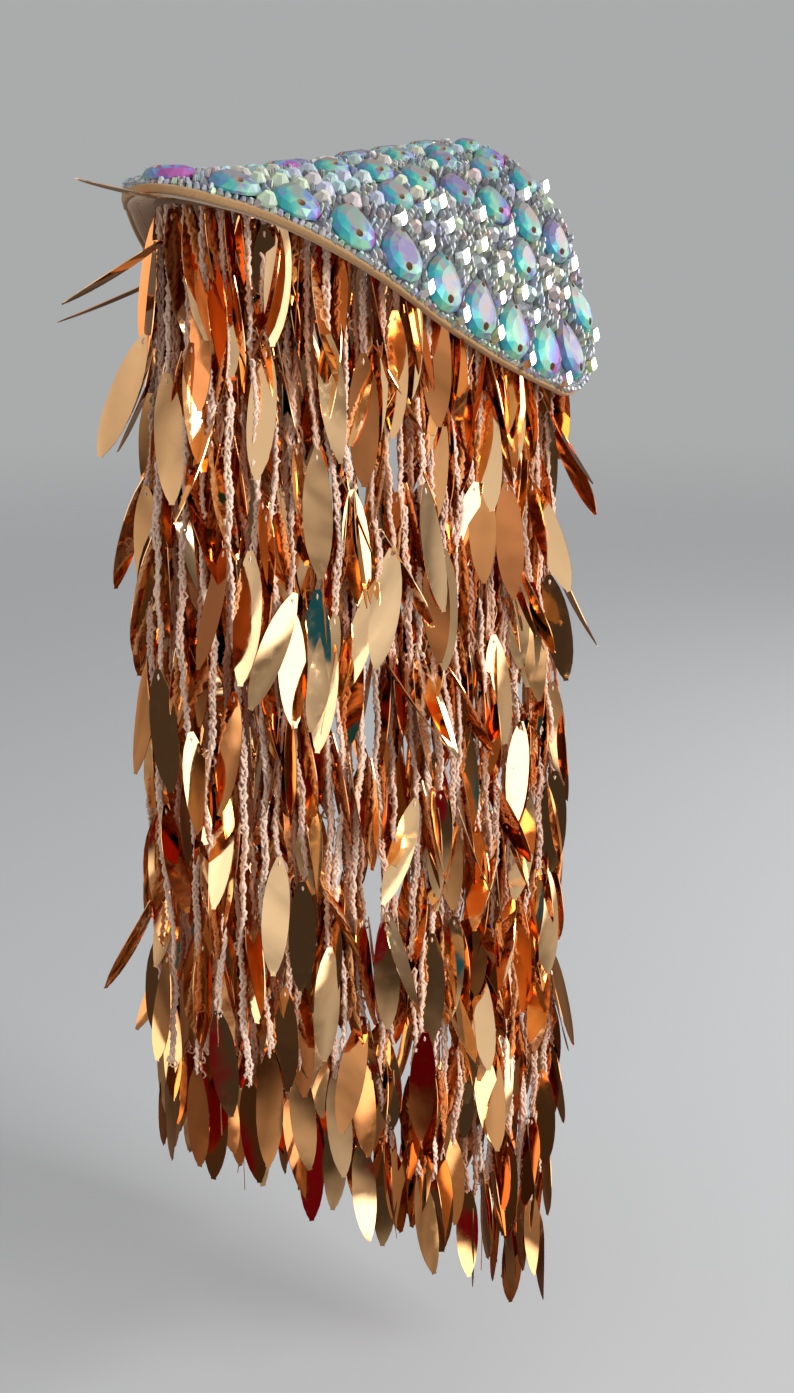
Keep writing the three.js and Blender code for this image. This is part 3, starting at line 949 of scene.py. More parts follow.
def drop_stone_mesh(name, seed):
    """A cut drop with a girdle, two rings of facets, a table, two sewing holes and tinted facets."""
    sides, drill_sides = 14, 8
    rings = [
        drop_ring(sides, 1, 0.0, 0.5),
        drop_ring(sides, 1, 0.22, 0.5),
        drop_ring(sides, 0.84, 0.74, 0.0),
        drop_ring(sides, 0.52, 1.0, 0.5),
    ]
    faces = [list(range(sides))[::-1], list(range(3 * sides, 4 * sides))]
    for k in range(sides):
        n = (k + 1) % sides
        faces.append([k, n, sides + n, sides + k])
        faces.append([sides + k, sides + n, 2 * sides + n])
        faces.append([sides + k, 2 * sides + n, 2 * sides + k])
        faces.append([2 * sides + k, 2 * sides + n, 3 * sides + k])
        faces.append([2 * sides + n, 3 * sides + n, 3 * sides + k])
    body = add_object(name, solid_mesh(name, np.concatenate(rings), faces))
    drills = []
    for y, half_x, half_y in STONE_HOLES:
        flat = round_outline(1, drill_sides) * (half_x, half_y) + (0, y)
        ring = [np.hstack([flat, np.full((drill_sides, 1), z)]) for z in (0.12, 1.4)]
        caps = [list(range(drill_sides))[::-1], list(range(drill_sides, 2 * drill_sides))]
        walls = band(0, drill_sides, drill_sides)
        drill = add_object("drill", solid_mesh("drill", np.concatenate(ring), walls + caps))
        cut = body.modifiers.new("hole", "BOOLEAN")
        cut.operation, cut.solver, cut.object = "DIFFERENCE", "EXACT", drill
        drills.append(drill)
    mesh = evaluated_mesh(body)
    mesh.name = name
    for spare in (body, *drills):
        bpy.data.objects.remove(spare)
    rng = np.random.default_rng(seed)
    tints, inside = [], []
    for face in mesh.polygons:
        x, y, z = face.center
        nz = face.normal.z
        near = min(math.hypot(x / hx, (y - hy) / hl) for hy, hx, hl in STONE_HOLES)
        inside.append(1.0 if near < 1.02 and z < 0.99 and (nz > 0.98 or nz < 0.2) else 0.0)
        tints.append(rng.uniform(-0.35, 0.35))
    # A random shift of the painted rainbow reflection on each facet.
    mark_faces(mesh, "facet", tints)
    spots = np.array([v.co for v in mesh.vertices], np.float32)
    mesh.attributes.new("spot", "FLOAT_VECTOR", "POINT").data.foreach_set("vector", spots.ravel())
    mark_faces(mesh, "hole", inside)
    return mesh


def stone_places():
    """Drop stones on the flat pattern: those that the solids have, and those added near the ridge."""
    _, _, facing = outline_frame()
    along = np.array([math.sin(facing), -math.cos(facing)])
    own, added = [], []

    def add(group, u, a, heading, row):
        group.append({"u": u, "a": a, "heading": heading, "width": row["width"], "length": row["length"]})

    def lean_out(direction, a):
        return math.atan2(direction[0] + RIM_LEAN * a / CORNER_A, -direction[1])

    run = OuterRun(RIM_ROW["inset"])
    add(own, run.point(0.0)[0], 0.0, math.pi, RIM_ROW)
    for _, sign in HALVES:
        for k in range(1, RIM_ROW["count"] + 1):
            u, a = run.point(k * RIM_ROW["pitch"])
            add(own, u, sign * a, sign * lean_out(run.tangent(k * RIM_ROW["pitch"]), a), RIM_ROW)
        for stone in CORNER_STONES:
            add(own, stone["u"], sign * stone["a"], sign * (math.pi / 2 - stone["turn"]), stone)
    for group, row in ((own, MIDDLE_ROW), (own, UPPER_ROW), *((added, row) for row in RIDGE_ROWS)):
        for k in row["steps"]:
            u, a = row["apex"] + along[0] * k * row["pitch"], along[1] * k * row["pitch"]
            if k == 0:
                add(group, u, 0.0, math.pi, row)
                continue
            for _, sign in HALVES:
                add(group, u, sign * a, sign * lean_out(along, a), row)
    return own, added


class CapField:
    """Keeps what is set on the flat pattern, so that nothing new is set on top of it."""

    TRIES = 60

    def __init__(self, stones):
        self.stones = list(stones)
        edge, _ = half_outline(0.0, 30, 60, 14)
        self.edge_u, self.edge_a = edge[:, 0], edge[:, 1]

    def depth(self, u, a):
        """Rough distance in from the outer edge."""
        return min(np.interp(u, self.edge_u, self.edge_a) - abs(a), u - TIP_U)

    def free(self, u, a, radius, border):
        limit = np.interp(u, self.edge_u, self.edge_a) - border * 1.25
        if abs(a) > limit or not TIP_U + border < u < NECK_U - border:
            return False
        for stone in self.stones:
            du, da = u - stone["u"], a - stone["a"]
            forward = du * math.cos(stone["heading"]) + da * math.sin(stone["heading"])
            sideways = da * math.cos(stone["heading"]) - du * math.sin(stone["heading"])
            half_length, half_width = stone["length"] / 2 + radius, stone["width"] / 2 + radius
            if math.hypot(forward / half_length, sideways / half_width) < 1:
                return False
        return True

    def scatter(self, rng, sign, along, across, count, width, length, gap, border, apart=0.0):
        """Sets up to a count of new things at random in a field of the pattern, on the side of a sign."""
        near, far = sorted(sign * a for a in across)
        made = []
        for _ in range(count * self.TRIES):
            u, a = rng.uniform((along[0], near), (along[1], far))
            radius = width * rng.uniform(0.42, 0.5)
            lone = all(math.hypot(u - other["u"], a - other["a"]) > apart for other in made)
            if lone and len(made) < count and self.free(u, a, radius + gap, border):
                heading = math.copysign(math.pi / 2, a) + rng.normal(0, 0.12)
                wide = 2 * radius
                thing = {"u": u, "a": a, "heading": heading, "width": wide, "length": wide * length / width}
                made.append(thing)
                self.stones.append(thing)
        return made


def chip_mesh(name, outline, table, height, seed=0):
    """A small closed crystal: a flat back, a low wall, a ring of facets and a table, each face with a random
    painted lit or dark shade.
    """
    flat = np.array(outline, float)
    sides = len(flat)
    rings = [
        np.hstack([flat * scale, np.full((sides, 1), z)])
        for scale, z in ((1, 0.0), (1, 0.3 * height), (table, height))
    ]
    faces = [list(range(sides))[::-1], list(range(2 * sides, 3 * sides))]
    for r in (0, sides):
        faces += band(r, r + sides, sides)
    mesh = solid_mesh(name, np.concatenate(rings), faces)
    # The shade of each face, painted by the chip finish as a lit or dark facet.
    mark_faces(mesh, "facet", np.random.default_rng(seed).uniform(0.22, 1.1, len(faces)))
    return mesh


def round_outline(radius, sides):
    turn = np.arange(sides) / sides * 2 * math.pi
    return np.stack([radius * np.cos(turn), radius * np.sin(turn)], axis=-1)


def kite_outline(width, length):
    shape = ((0, 0.5), (-0.36, 0.22), (-0.5, -0.08), (0, -0.5), (0.5, -0.08), (0.36, 0.22))
    return np.array(shape) * (width, length)


def stitch_tree(pitch, shape, material):
    """Stitches set along a path, one for each pitch."""
    tree = PieceTree("stitches", {"Pitch": pitch, "Shape": shape, "Material": material})
    path = tree.node("GeometryNodeMeshToCurve", {}, {0: tree.given("Geometry")})
    spots = tree.node(
        "GeometryNodeCurveToPoints", {"mode": "LENGTH"}, {"Curve": path, "Length": tree.given("Pitch")}
    )
    turn = tree.node(
        "FunctionNodeAlignRotationToVector", {"axis": "Y"}, {"Vector": spots.output("Tangent")}
    )
    tree.close(tree.node(
        "GeometryNodeInstanceOnPoints", {},
        {"Points": spots, "Instance": tree.shape("Shape"), "Rotation": turn},
    ))
    return tree


def pile_tree(spacing, shape, seed, material):
    """Small loops strewn over a face, each turned at random."""
    tree = PieceTree("pad_loops", {"Spacing": spacing, "Shape": shape, "Seed": seed, "Material": material})
    crowd = 1.6 / (spacing * spacing)
    points = tree.node(
        "GeometryNodeDistributePointsOnFaces", {"distribute_method": "POISSON"},
        {
            "Mesh": tree.given("Geometry"), "Distance Min": tree.given("Spacing"),
            "Density Max": crowd, "Seed": tree.given("Seed"),
        },
    )
    upward = tree.node(
        "FunctionNodeAlignRotationToVector", {"axis": "Z"}, {"Vector": points.output("Normal")}
    )
    spin = tree.node("ShaderNodeCombineXYZ", {}, {2: tree.random(0.0, math.pi, 1)})
    turned = tree.node(
        "FunctionNodeRotateRotation", {"rotation_space": "LOCAL"},
        {"Rotation": upward, "Rotate By": tree.node("FunctionNodeEulerToRotation", {}, {0: spin})},
    )
    tree.close(tree.node(
        "GeometryNodeInstanceOnPoints", {},
        {"Points": points, "Instance": tree.shape("Shape"), "Rotation": turned},
    ))
    return tree


def plait_tree(width, material):
    """Three plies plaited round each strand's path."""
    values = {
        "Width": width,
        "Ply Turn": 9.5 * MM,
        "Step": 1.75 * MM,
        "Slow Twist": 26.0,
        "Material": material,
    }
    tree = PieceTree("yarn_plait", values)
    path = tree.node("GeometryNodeMeshToCurve", {}, {0: tree.given("Geometry")})
    path = tree.node(
        "GeometryNodeResampleCurve", {"mode": "LENGTH"}, {"Curve": path, "Length": tree.given("Step")}
    )
    length = tree.node("GeometryNodeSplineParameter", out="Length")
    normal = tree.node("GeometryNodeInputNormal")
    side = tree.vector("CROSS_PRODUCT", tree.node("GeometryNodeInputTangent"), normal)
    turn = tree.mark("turn") + length * tree.given("Slow Twist")
    swing, lift = tree.function("COSINE", turn), tree.function("SINE", turn)
    broad = tree.vector("ADD", tree.scaled(normal, swing), tree.scaled(side, lift))
    deep = tree.vector("SUBTRACT", tree.scaled(side, swing), tree.scaled(normal, lift))
    width = tree.given("Width")
    profile = tree.node(
        "GeometryNodeCurvePrimitiveCircle", {"mode": "RADIUS"}, {"Resolution": 4, "Radius": width * 0.23}
    )
    drift = tree.node("GeometryNodeInputPosition")
    uneven = tree.node("ShaderNodeTexNoise", {}, {"Vector": drift, "Scale": 60.0, "Detail": 1.0})
    plies = []
    for ply in range(3):
        phase = length / tree.given("Ply Turn") * (2 * math.pi) + tree.mark("turn") * 3.0
        sway = phase + ply * 2 * math.pi / 3 + uneven * 9.0
        offset = tree.vector(
            "ADD",
            tree.scaled(broad, tree.function("SINE", sway) * width * (0.2 + 0.2 * uneven)),
            tree.scaled(deep, tree.function("SINE", sway * 2.0) * width * 0.17),
        )
        if ply == 2:
            slub = tree.node("ShaderNodeTexNoise", {}, {"Vector": drift, "Scale": 240.0}, out="Color")
            stray = tree.vector("SUBTRACT", slub, (0.5, 0.5, 0.5))
            offset = tree.vector("ADD", offset, tree.scaled(stray, width * 1.3))
        moved = tree.node("GeometryNodeSetPosition", {}, {"Geometry": path, "Offset": offset})
        plump = 0.1 + 1.7 * tree.node("ShaderNodeTexNoise", {}, {"Vector": drift, "Scale": 150.0 + 30 * ply})
        plies.append(tree.node(
            "GeometryNodeCurveToMesh", {},
            {"Curve": moved, "Profile Curve": profile, "Scale": plump, "Fill Caps": True},
        ))
    yarn = tree.node("GeometryNodeJoinGeometry", {}, {0: plies})
    tree.close(tree.node("GeometryNodeSetShadeSmooth", {}, {"Geometry": yarn, "Shade Smooth": True}))
    return tree


class Strand:
    """One hanging strand: its half and row, its path, its length with the last leaf, its directions and its
    share of painted shade.
    """

    STEPS = 96
    SETTLE = 70 * MM
    FALL = 170 * MM
    # Painted shade: the inner row's yarn takes most of the darker copper colour of shade inside the fringe;
    # outer strands take a smaller share that differs from strand to strand.
    OUTER_SHADE = 0.35
    INNER_SHADE = 0.8

    def __init__(self, half, row, top, along, out, length, yarn_length, drape, spread, rng):
        self.half, self.row, self.top, self.along, self.out = half, row, top, along, out
        self.length, self.yarn_length, self.drape = length, yarn_length, drape
        self.turn = rng.uniform(0, 2 * math.pi)
        self.shade = self.INNER_SHADE if row else self.OUTER_SHADE * (math.sin(5 * self.turn) + 1) / 2
        self.sway = rng.uniform((0.8, 0.8, 0.3, 0.3), (2.2, 2.2, 0.8, 0.8)) * MM
        self.wave = rng.uniform((85, 85, 20, 20), (190, 190, 44, 44)) * MM
        self.start = rng.uniform(0, 2 * math.pi, 4)
        self.lean = np.array([rng.uniform(-1.5, 4.0), rng.uniform(-5.0, 5.0) + spread]) * MM

    def at(self, drop):
        """Point of the path at a drop below the tape."""
        settle = min(drop / self.SETTLE, 1.0)
        waves = settle * self.sway * np.sin(2 * math.pi * drop / self.wave + self.start)
        swing = waves[:2] + waves[2:] + self.lean * drop / self.length
        fall = min(drop / self.FALL, 1.0)
        outwards = swing[0] + self.drape * fall * fall * (3 - 2 * fall)
        return self.top + self.out * outwards + self.along * swing[1] + np.array([0, 0, -drop])

    def path(self):
        return np.array([self.at(d) for d in np.linspace(0, self.yarn_length, self.STEPS)])


def fringe_place(run, sign, distance, inwards):
    """Place under the tape, and the level directions along and out from the edge there."""
    height = (TAPE_TOP + TAPE_BOTTOM) / 2

    def spot(where):
        u, a = run.inside(where, inwards)
        return on_cap(u, sign * a, height)

    probe = 1 * MM
    middle = np.clip(distance, probe, run.along[-1] - probe)
    along = spot(middle + probe) - spot(middle - probe)
    along[2] = 0.0
    along /= np.linalg.norm(along)
    out = np.array([-along[1], along[0], 0.0]) * sign
    return spot(distance), along, out


def hang_strands(settings):
    """All strands of the fringe, in two rows on each half."""
    rng = np.random.default_rng(settings.seed)
    run = OuterRun(HEADER_INSET)
    count = round(FRINGE_REACH / settings.strand_spacing)
    pitch = FRINGE_REACH / count
    below_hole = settings.leaf_length * 0.93
    strands = []
    for half, sign in HALVES:
        for row, (inwards, offset) in enumerate(STRAND_ROWS):
            for k in range(count):
                distance = min((k + offset + rng.uniform(-0.18, 0.18)) * pitch, FRINGE_REACH - 1 * MM)
                top, along, out = fringe_place(run, sign, distance, inwards)
                share = distance / FRINGE_REACH
                drop = settings.length_at_tip + (settings.length_at_corner - settings.length_at_tip) * share
                short = rng.choice((0.0, 0.0, 1.6, 3.2)) * (0.4 + 0.6 * row)
                length = drop + settings.length_scatter * (rng.uniform(-1.0, 0.5) - short)
                drape = settings.drape_at_tip * (1 - share) + settings.drape_at_corner * share
                drape *= 1 - 0.25 * row
                spread = 9.0 * max(share - 0.6, 0) / 0.4
                yarn_length = length - below_hole
                strands.append(Strand(half, row, top, along, out, length, yarn_length, drape, spread, rng))
    return strands


def leaf_mesh(name, settings, bow, twist, cup):
    """A thin leaf that hangs down from the hole near its top, bowed, twisted and cupped."""
    length, half = settings.leaf_length, settings.leaf_width / 2
    top, hole, blunt, thick = 3.0 * MM, 0.65 * MM, 1.1 * MM, 0.28 * MM
    below = 3.4 * MM

    def half_width(z):
        share = (top - z) / length
        full = max(1 - abs(2 * share - 1) ** 2.3, 0.0)
        return max(half * full ** 0.68, blunt)

    stations = [-below] + [top - length * s for s in (0.26, 0.38, 0.5, 0.62, 0.74, 0.85, 0.94, 0.98, 1.0)]
    flat = [(0, top), (half_width(top), top), (half_width(0), 0), (half_width(-below), -below), (0, -below)]
    flat += [(-half_width(-below), -below), (-half_width(0), 0), (-half_width(top), top)]
    ring = len(flat)
    flat += [(hole * math.sin(k * math.pi / 4), hole * math.cos(k * math.pi / 4)) for k in range(8)]
    quads = band(0, ring, ring)
    rows = [(5, 4, 3)]
    for z in stations[1:]:
        start = len(flat)
        flat += [(-half_width(z), z), (0, z), (half_width(z), z)]
        rows.append((start, start + 1, start + 2))
    for upper, lower in zip(rows, rows[1:]):
        quads.append([upper[0], upper[1], lower[1], lower[0]])
        quads.append([upper[1], upper[2], lower[2], lower[1]])
    edge = [0, 1, 2] + [r[2] for r in rows] + [rows[-1][1]] + [r[0] for r in rows[::-1]] + [6, 7]
    front, back = [], []
    for x, z in flat:
        share = (top - z) / length
        y = bow * 4 * share * share + cup * (x / half) ** 2
        angle = twist * share
        bent = (x * math.cos(angle) - y * math.sin(angle), x * math.sin(angle) + y * math.cos(angle))
        front.append((bent[0], bent[1] + thick / 2, z))
        back.append((bent[0], bent[1] - thick / 2, z))
    count = len(flat)
    faces = quads + [[count + k for k in q[::-1]] for q in quads]
    for p, q in zip(edge, edge[1:] + edge[:1]):
        faces.append([q, p, count + p, count + q])
    faces += band(ring, count + ring, ring)
    return solid_mesh(name, front + back, faces, math.radians(50))


def loop_mesh(name, radius, thick, steps=9, sides=4):
    """A closed ring of yarn in the YZ plane."""
    points, faces = [], []
    for i in range(steps):
        turn = i / steps * 2 * math.pi
        for j in range(sides):
            round_it = j / sides * 2 * math.pi
            reach = radius + thick * math.cos(round_it)
            points.append((thick * math.sin(round_it), reach * math.cos(turn), reach * math.sin(turn)))
        faces += band(i * sides, (i + 1) % steps * sides, sides)
    return solid_mesh(name, points, faces, math.pi)


# The kinds of leaf: name, bow, twist and cup.
LEAF_SHAPES = (
    ("leaf_flat", 0.8 * MM, 0.08, 0.22 * MM),
    ("leaf_bowed", 1.6 * MM, -0.14, 0.45 * MM),
    ("leaf_hollow", -0.4 * MM, 0.12, -0.3 * MM),
    ("leaf_twisted", 0.7 * MM, 0.5, 0.2 * MM),
)

# The leaves of one strand: where the first hangs in parts of the pitch, the shift along the strand in
# millimetres, the distance from the yarn, and the scatter in radians of leaves edge-on, last and at the top.
FIRST_LEAF = (0.2, 1.1)
LEAF_SHIFT = 14
LEAF_AWAY = 2.3 * MM
LAST_AWAY = 0.6 * MM
EDGE_SCATTER = 0.45
LAST_SCATTER = 0.6
TOP_SCATTER = 0.4

# Leaves at the top: the share of broad ones in the outer and the inner row, and how far they are tucked in.
TOP_BROAD = (0.6, 0.35)
TOP_TUCK = math.radians(-4)

# Loose threads: how many strands apart, their points, the drop between two points, and their width.
THREAD_EVERY = 15
THREAD_POINTS = 10
THREAD_STEP = 6 * MM
THREAD_WIDTH = 0.5 * MM


class LeafHanger:
    """Finds places for leaves where they keep clear of the strands and of each other."""

    LEVEL = 6 * MM
    FALL = 0.55
    TRIES = 5
    YARN_GAP = 3.0 * MM
    OWN_YARN = 0.8 * MM
    LEAF_GAP = 3.2 * MM
    NEARBY = 40 * MM
    PAST_BOX = 8 * MM
    WILD_SHARE = 0.08
    MOST_LEAN = 20

    def __init__(self, strands, settings):
        self.settings = settings
        self.rng = np.random.default_rng(settings.seed + 1)
        self.ceiling = max(s.top[2] for s in strands)
        levels = int(self.FALL / self.LEVEL)
        self.lines = np.full((levels, len(strands), 2), 9.0)
        for number, strand in enumerate(strands):
            for drop in np.arange(0, strand.yarn_length, self.LEVEL / 2):
                point = strand.at(drop)
                self.lines[int((self.ceiling - point[2]) / self.LEVEL), number] = point[:2]
        width, length = settings.leaf_width, settings.leaf_length
        self.samples = [
            Vector((x * width * spread, 0, -z * length))
            for z, spread in ((0.1, 0.4), (0.3, 0.85), (0.5, 1), (0.7, 0.85), (0.9, 0.3))
            for x in (-0.5, 0, 0.5)
        ]
        self.low, self.high = np.array(CAD_BOX[0]) - self.PAST_BOX, np.array(CAD_BOX[1]) + self.PAST_BOX
        self.taken = np.zeros((0, 3))
        self.hung = []

    def crowding(self, points, own):
        """How much a leaf's points crowd the yarn, the other leaves and the limits of the box."""
        level = np.clip(((self.ceiling - points[:, 2]) / self.LEVEL).astype(int), 0, len(self.lines) - 1)
        gaps = np.linalg.norm(self.lines[level] - points[:, None, :2], axis=2)
        gaps[:, own] += self.OWN_YARN
        score = np.maximum(0, self.YARN_GAP - gaps).sum()
        if len(self.taken):
            close = self.taken[np.abs(self.taken[:, 2] - points[:, 2].mean()) < self.NEARBY]
            if len(close):
                apart = np.linalg.norm(close[None] - points[:, None], axis=2)
                score += np.maximum(0, self.LEAF_GAP - apart).sum()
        outside = np.maximum(self.low - points, 0) + np.maximum(points - self.high, 0)
        return score + 50 * outside.sum()

    def leaf_at(self, strand, place, facing, tilt, lean, roll=0.0):
        """One leaf: where its hole is, the way it faces, its swing outwards, sideways and round itself."""
        turn = Matrix.Rotation(math.atan2(-facing[0], facing[1]), 3, "Z")
        for angle, axis in ((tilt, "X"), (lean, "Y"), (roll, "Z")):
            turn = turn @ Matrix.Rotation(angle, 3, axis)
        points = np.array([place + turn @ sample for sample in self.samples])
        kind = int(self.rng.integers(0, len(LEAF_SHAPES)))
        # Painted shade: leaves of the inner row get deeper copper tints.
        tint = self.rng.uniform(0, 0.8) + 0.2 * strand.row
        return {
            "strand": strand, "place": place, "turn": turn, "points": points, "facing": facing,
            "kind": kind, "tint": tint,
        }

    def best(self, strand, number, drop, middle, spread, away, calm, tuck=0.0):
        """The freest of a few draws for a leaf at a drop on a strand."""
        rng = self.rng
        choices = []
        for _ in range(self.TRIES):
            azimuth = middle + rng.uniform(-spread, spread)
            facing = np.array([math.cos(azimuth), math.sin(azimuth), 0.0])
            wild = rng.random() < self.WILD_SHARE and not calm
            tilt = math.radians(rng.uniform(12, 26) if wild else abs(rng.normal(0, 3.5))) - tuck
            lean = math.radians(np.clip(rng.normal(0, 12 if wild else 3), -self.MOST_LEAN, self.MOST_LEAN))
            place = Vector(strand.at(drop)) + Vector(facing) * away
            leaf = self.leaf_at(strand, place, facing, tilt, lean)
            choices.append((self.crowding(leaf["points"], number), len(choices), leaf))
        return min(choices)[2]

    def take(self, leaf):
        self.taken = np.concatenate([self.taken, leaf["points"]])
        self.hung.append(leaf)


def hang_leaves(strands, settings):
    """Leaves down every strand, the last one at its end, and a few that stand out from the tip."""
    hanger = LeafHanger(strands, settings)
    run = OuterRun(HEADER_INSET)
    behind = next(s for s in strands if s.half == "back")
    for distance, drop, reach, dip, roll in STANDING_LEAVES:
        top, _, out = fringe_place(run, 1, distance * MM, 1.3 * MM)
        tilt = math.pi / 2 - math.radians(dip)
        place = Vector(top) + Vector(out) * (reach * MM) - Vector((0, 0, drop * MM))
        leaf = hanger.leaf_at(behind, place, out, tilt, 0.0, math.radians(roll))
        hanger.take({**leaf, "kind": 0})
    outer = [s for s in strands if s.half == "front" and s.row == 0]
    for number, drop, reach, lean, mirrored in NOTED_LEAVES:
        spot = Vector(outer[number].at(drop * MM))
        face = ((CAMERA_PLACE - spot).normalized() + ROOM[mirrored].normalized()).normalized()
        level = Vector((face.x, face.y, 0)).normalized()
        place, tilt = spot + level * (reach * MM), math.asin(face.z)
        leaf = hanger.leaf_at(outer[number], place, level, tilt, math.radians(lean))
        hanger.take({**leaf, "kind": number % 2, "tint": 0.2})
    rng = np.random.default_rng(settings.seed + 2)
    for number, strand in enumerate(strands):
        first = rng.uniform(*FIRST_LEAF) * settings.leaf_pitch
        count = max(int(round((strand.yarn_length - first) / settings.leaf_pitch)), 1)
        drops = [rng.uniform(-1, 4) * MM, *np.linspace(first, strand.yarn_length, count + 1)]
        outwards = math.atan2(strand.out[1], strand.out[0])
        for k, drop in enumerate(drops):
            top, last = k == 0, k == len(drops) - 1
            spot = drop if top or last else drop + rng.uniform(-LEAF_SHIFT, LEAF_SHIFT) * MM
            edge_on = outwards + rng.choice((-0.5, 0.5)) * math.pi + rng.normal(0, EDGE_SCATTER)
            narrow = rng.random() < settings.edge_share
            azimuth = edge_on if narrow else rng.uniform(-math.pi, math.pi)
            if last:
                azimuth = outwards + rng.normal(0, LAST_SCATTER)
            if top:
                broad = rng.random() < TOP_BROAD[strand.row]
                azimuth = outwards + math.pi + rng.normal(0, TOP_SCATTER) if broad else edge_on
            away = LAST_AWAY if last else LEAF_AWAY
            hang = (away, last or top, TOP_TUCK if top else 0.0)
            leaf = hanger.best(strand, number, spot, azimuth, 0.5, *hang)
            # Partly painted: edge-on and top leaves take the deeper copper tints, as painted reflection of
            # other leaves and painted shade under the cap; broad leaves stay mostly gold.
            hanger.take({**leaf, "tint": rng.uniform(0.45, 1.0) if narrow or top else rng.uniform(0.0, 0.6)})
            if not (last or top) and rng.random() < settings.pair_share:
                hanger.take(hanger.best(strand, number, spot + 3 * MM, azimuth + math.pi, 0.7, *hang))
    return hanger.hung


def header_tape_mesh(name, sign):
    """The ribbed tape under the lining that the strands hang from."""
    run = OuterRun(HEADER_INSET)
    steps, rib = 260, 0.14 * MM
    section = ((0, TAPE_TOP), (1, TAPE_TOP), (1, TAPE_BOTTOM), (0.5, TAPE_BOTTOM), (0, TAPE_BOTTOM))
    points, faces = [], []
    for i in range(steps + 1):
        distance = FRINGE_REACH * i / steps
        for inwards, height in section:
            u, a = run.inside(distance, inwards * HEADER_WIDTH)
            raised = height - rib * (i % 2) if height == TAPE_BOTTOM else height + 0.35 * MM
            points.append(on_cap(u, sign * a, raised))
    ring = len(section)
    for i in range(steps):
        faces += band(i * ring, (i + 1) * ring, ring)
    faces.append(list(range(ring))[::-1])
    faces.append([steps * ring + k for k in range(ring)])
    if sign > 0:
        faces = [f[::-1] for f in faces]
    return solid_mesh(name, points, faces, math.radians(40))


class EPAULETTE_OT_felt_cap(bpy.types.Operator):
    """Make the felt cap with its bare cut edge"""

    bl_idname = "epaulette.felt_cap"
    bl_label = "Felt cap"

    def execute(self, context):
        cap = context.scene.epaulette_cap
        soft = 0.5 * MM
        layers = (
            (soft, 0.0), (0.12 * MM, -0.25 * MM), (0.0, -0.8 * MM),
            (0.0, FELT_BOTTOM + 0.8 * MM), (0.12 * MM, FELT_BOTTOM + 0.25 * MM), (soft, FELT_BOTTOM),
        )
        mesh = cap_shell("felt_cap", layers, 48, (22, 52, 18), math.radians(50))
        mesh.materials.append(felt_finish(cap.felt_colour))
        keep(add_object("felt_cap", mesh), ["cap_base"])
        return {"FINISHED"}


class EPAULETTE_OT_lining(bpy.types.Operator):
    """Make the satin lining and the stitches that hold it"""

    bl_idname = "epaulette.lining"
    bl_label = "Satin lining"

    def execute(self, context):
        cap = context.scene.epaulette_cap
        layers = (
            (1.6 * MM, FELT_BOTTOM - 0.02 * MM), (1.3 * MM, FELT_BOTTOM - 0.4 * MM),
            (1.5 * MM, FELT_BOTTOM - 1.0 * MM), (2.3 * MM, LINING_BOTTOM),
        )
        mesh = cap_shell("satin_lining", layers, 44, (20, 46, 16), math.radians(60))
        mesh.materials.append(satin_finish(cap.satin_colour))
        keep(add_object("satin_lining", mesh), ["cap_lining"])
        edge, _ = half_outline(cap.stitch_inset, 40, 90, 24)
        flat = np.concatenate([edge * (1, -1), edge[::-1]])[1:-1]
        path = on_cap(flat[:, 0], flat[:, 1], LINING_BOTTOM - 0.15 * MM)
        links = [(k, k + 1) for k in range(len(path) - 1)]
        stitch = add_object("stitch", chip_mesh("stitch", kite_outline(0.6 * MM, 2.8 * MM), 0.5, 0.3 * MM))
        thread = thread_finish("lining_thread", (0.62, 0.47, 0.32))
        piece = stitch_tree(cap.stitch_pitch, stitch, thread).grow(
            "lining_stitches", points_mesh("lining_stitches", path, links)
        )
        keep(piece)
        return {"FINISHED"}


class EPAULETTE_OT_pad(bpy.types.Operator):
    """Make the fastening pad under the ridge, with its pile of loops"""

    bl_idname = "epaulette.pad"
    bl_label = "Fastening pad"

    def execute(self, context):
        cap = context.scene.epaulette_cap
        pile = 0.8 * MM
        corner, steps = 4 * MM, 8
        outline = []
        for turn in range(4):
            for k in range(steps + 1):
                angle = (turn + k / steps) * math.pi / 2
                centre_x = (cap.pad_length / 2 - corner) * (1 if turn in (0, 3) else -1)
                centre_y = (cap.pad_width / 2 - corner) * (1 if turn in (0, 1) else -1)
                outline.append((centre_x + corner * math.cos(angle), centre_y + corner * math.sin(angle)))
        flat = np.array(outline)
        around = len(flat)
        lid = on_cap(flat[:, 0], flat[:, 1], TAPE_TOP)
        waist = lid * (1, 1, 0) + (0, 0, pile + 0.5 * MM)
        hem = np.hstack([flat * 0.985, np.full((around, 1), pile)])
        faces = [[around * 2 + k for k in range(around)][::-1], list(range(around))]
        for r in (0, around):
            for k in range(around):
                n = (k + 1) % around
                faces.append([r + k, r + around + k, r + around + n, r + n])
        mesh = solid_mesh("fastening_pad", np.concatenate([lid, waist, hem]), faces, math.radians(40))
        finish = pile_finish(cap.pad_colour)
        mesh.materials.append(finish)
        keep(add_object("fastening_pad", mesh), ["hook_pad"])
        sole = solid_mesh("sole", hem * (0.97, 0.96, 1), [list(range(around))[::-1]])
        loop = add_object("loop", loop_mesh("loop", 0.36 * MM, 0.09 * MM, 8, 3))
        for vertex in loop.data.vertices:
            vertex.co.z += 0.3 * MM
        piece = pile_tree(cap.loop_spacing, loop, 3, finish).grow("pad_loops", sole)
        keep(piece)
        return {"FINISHED"}


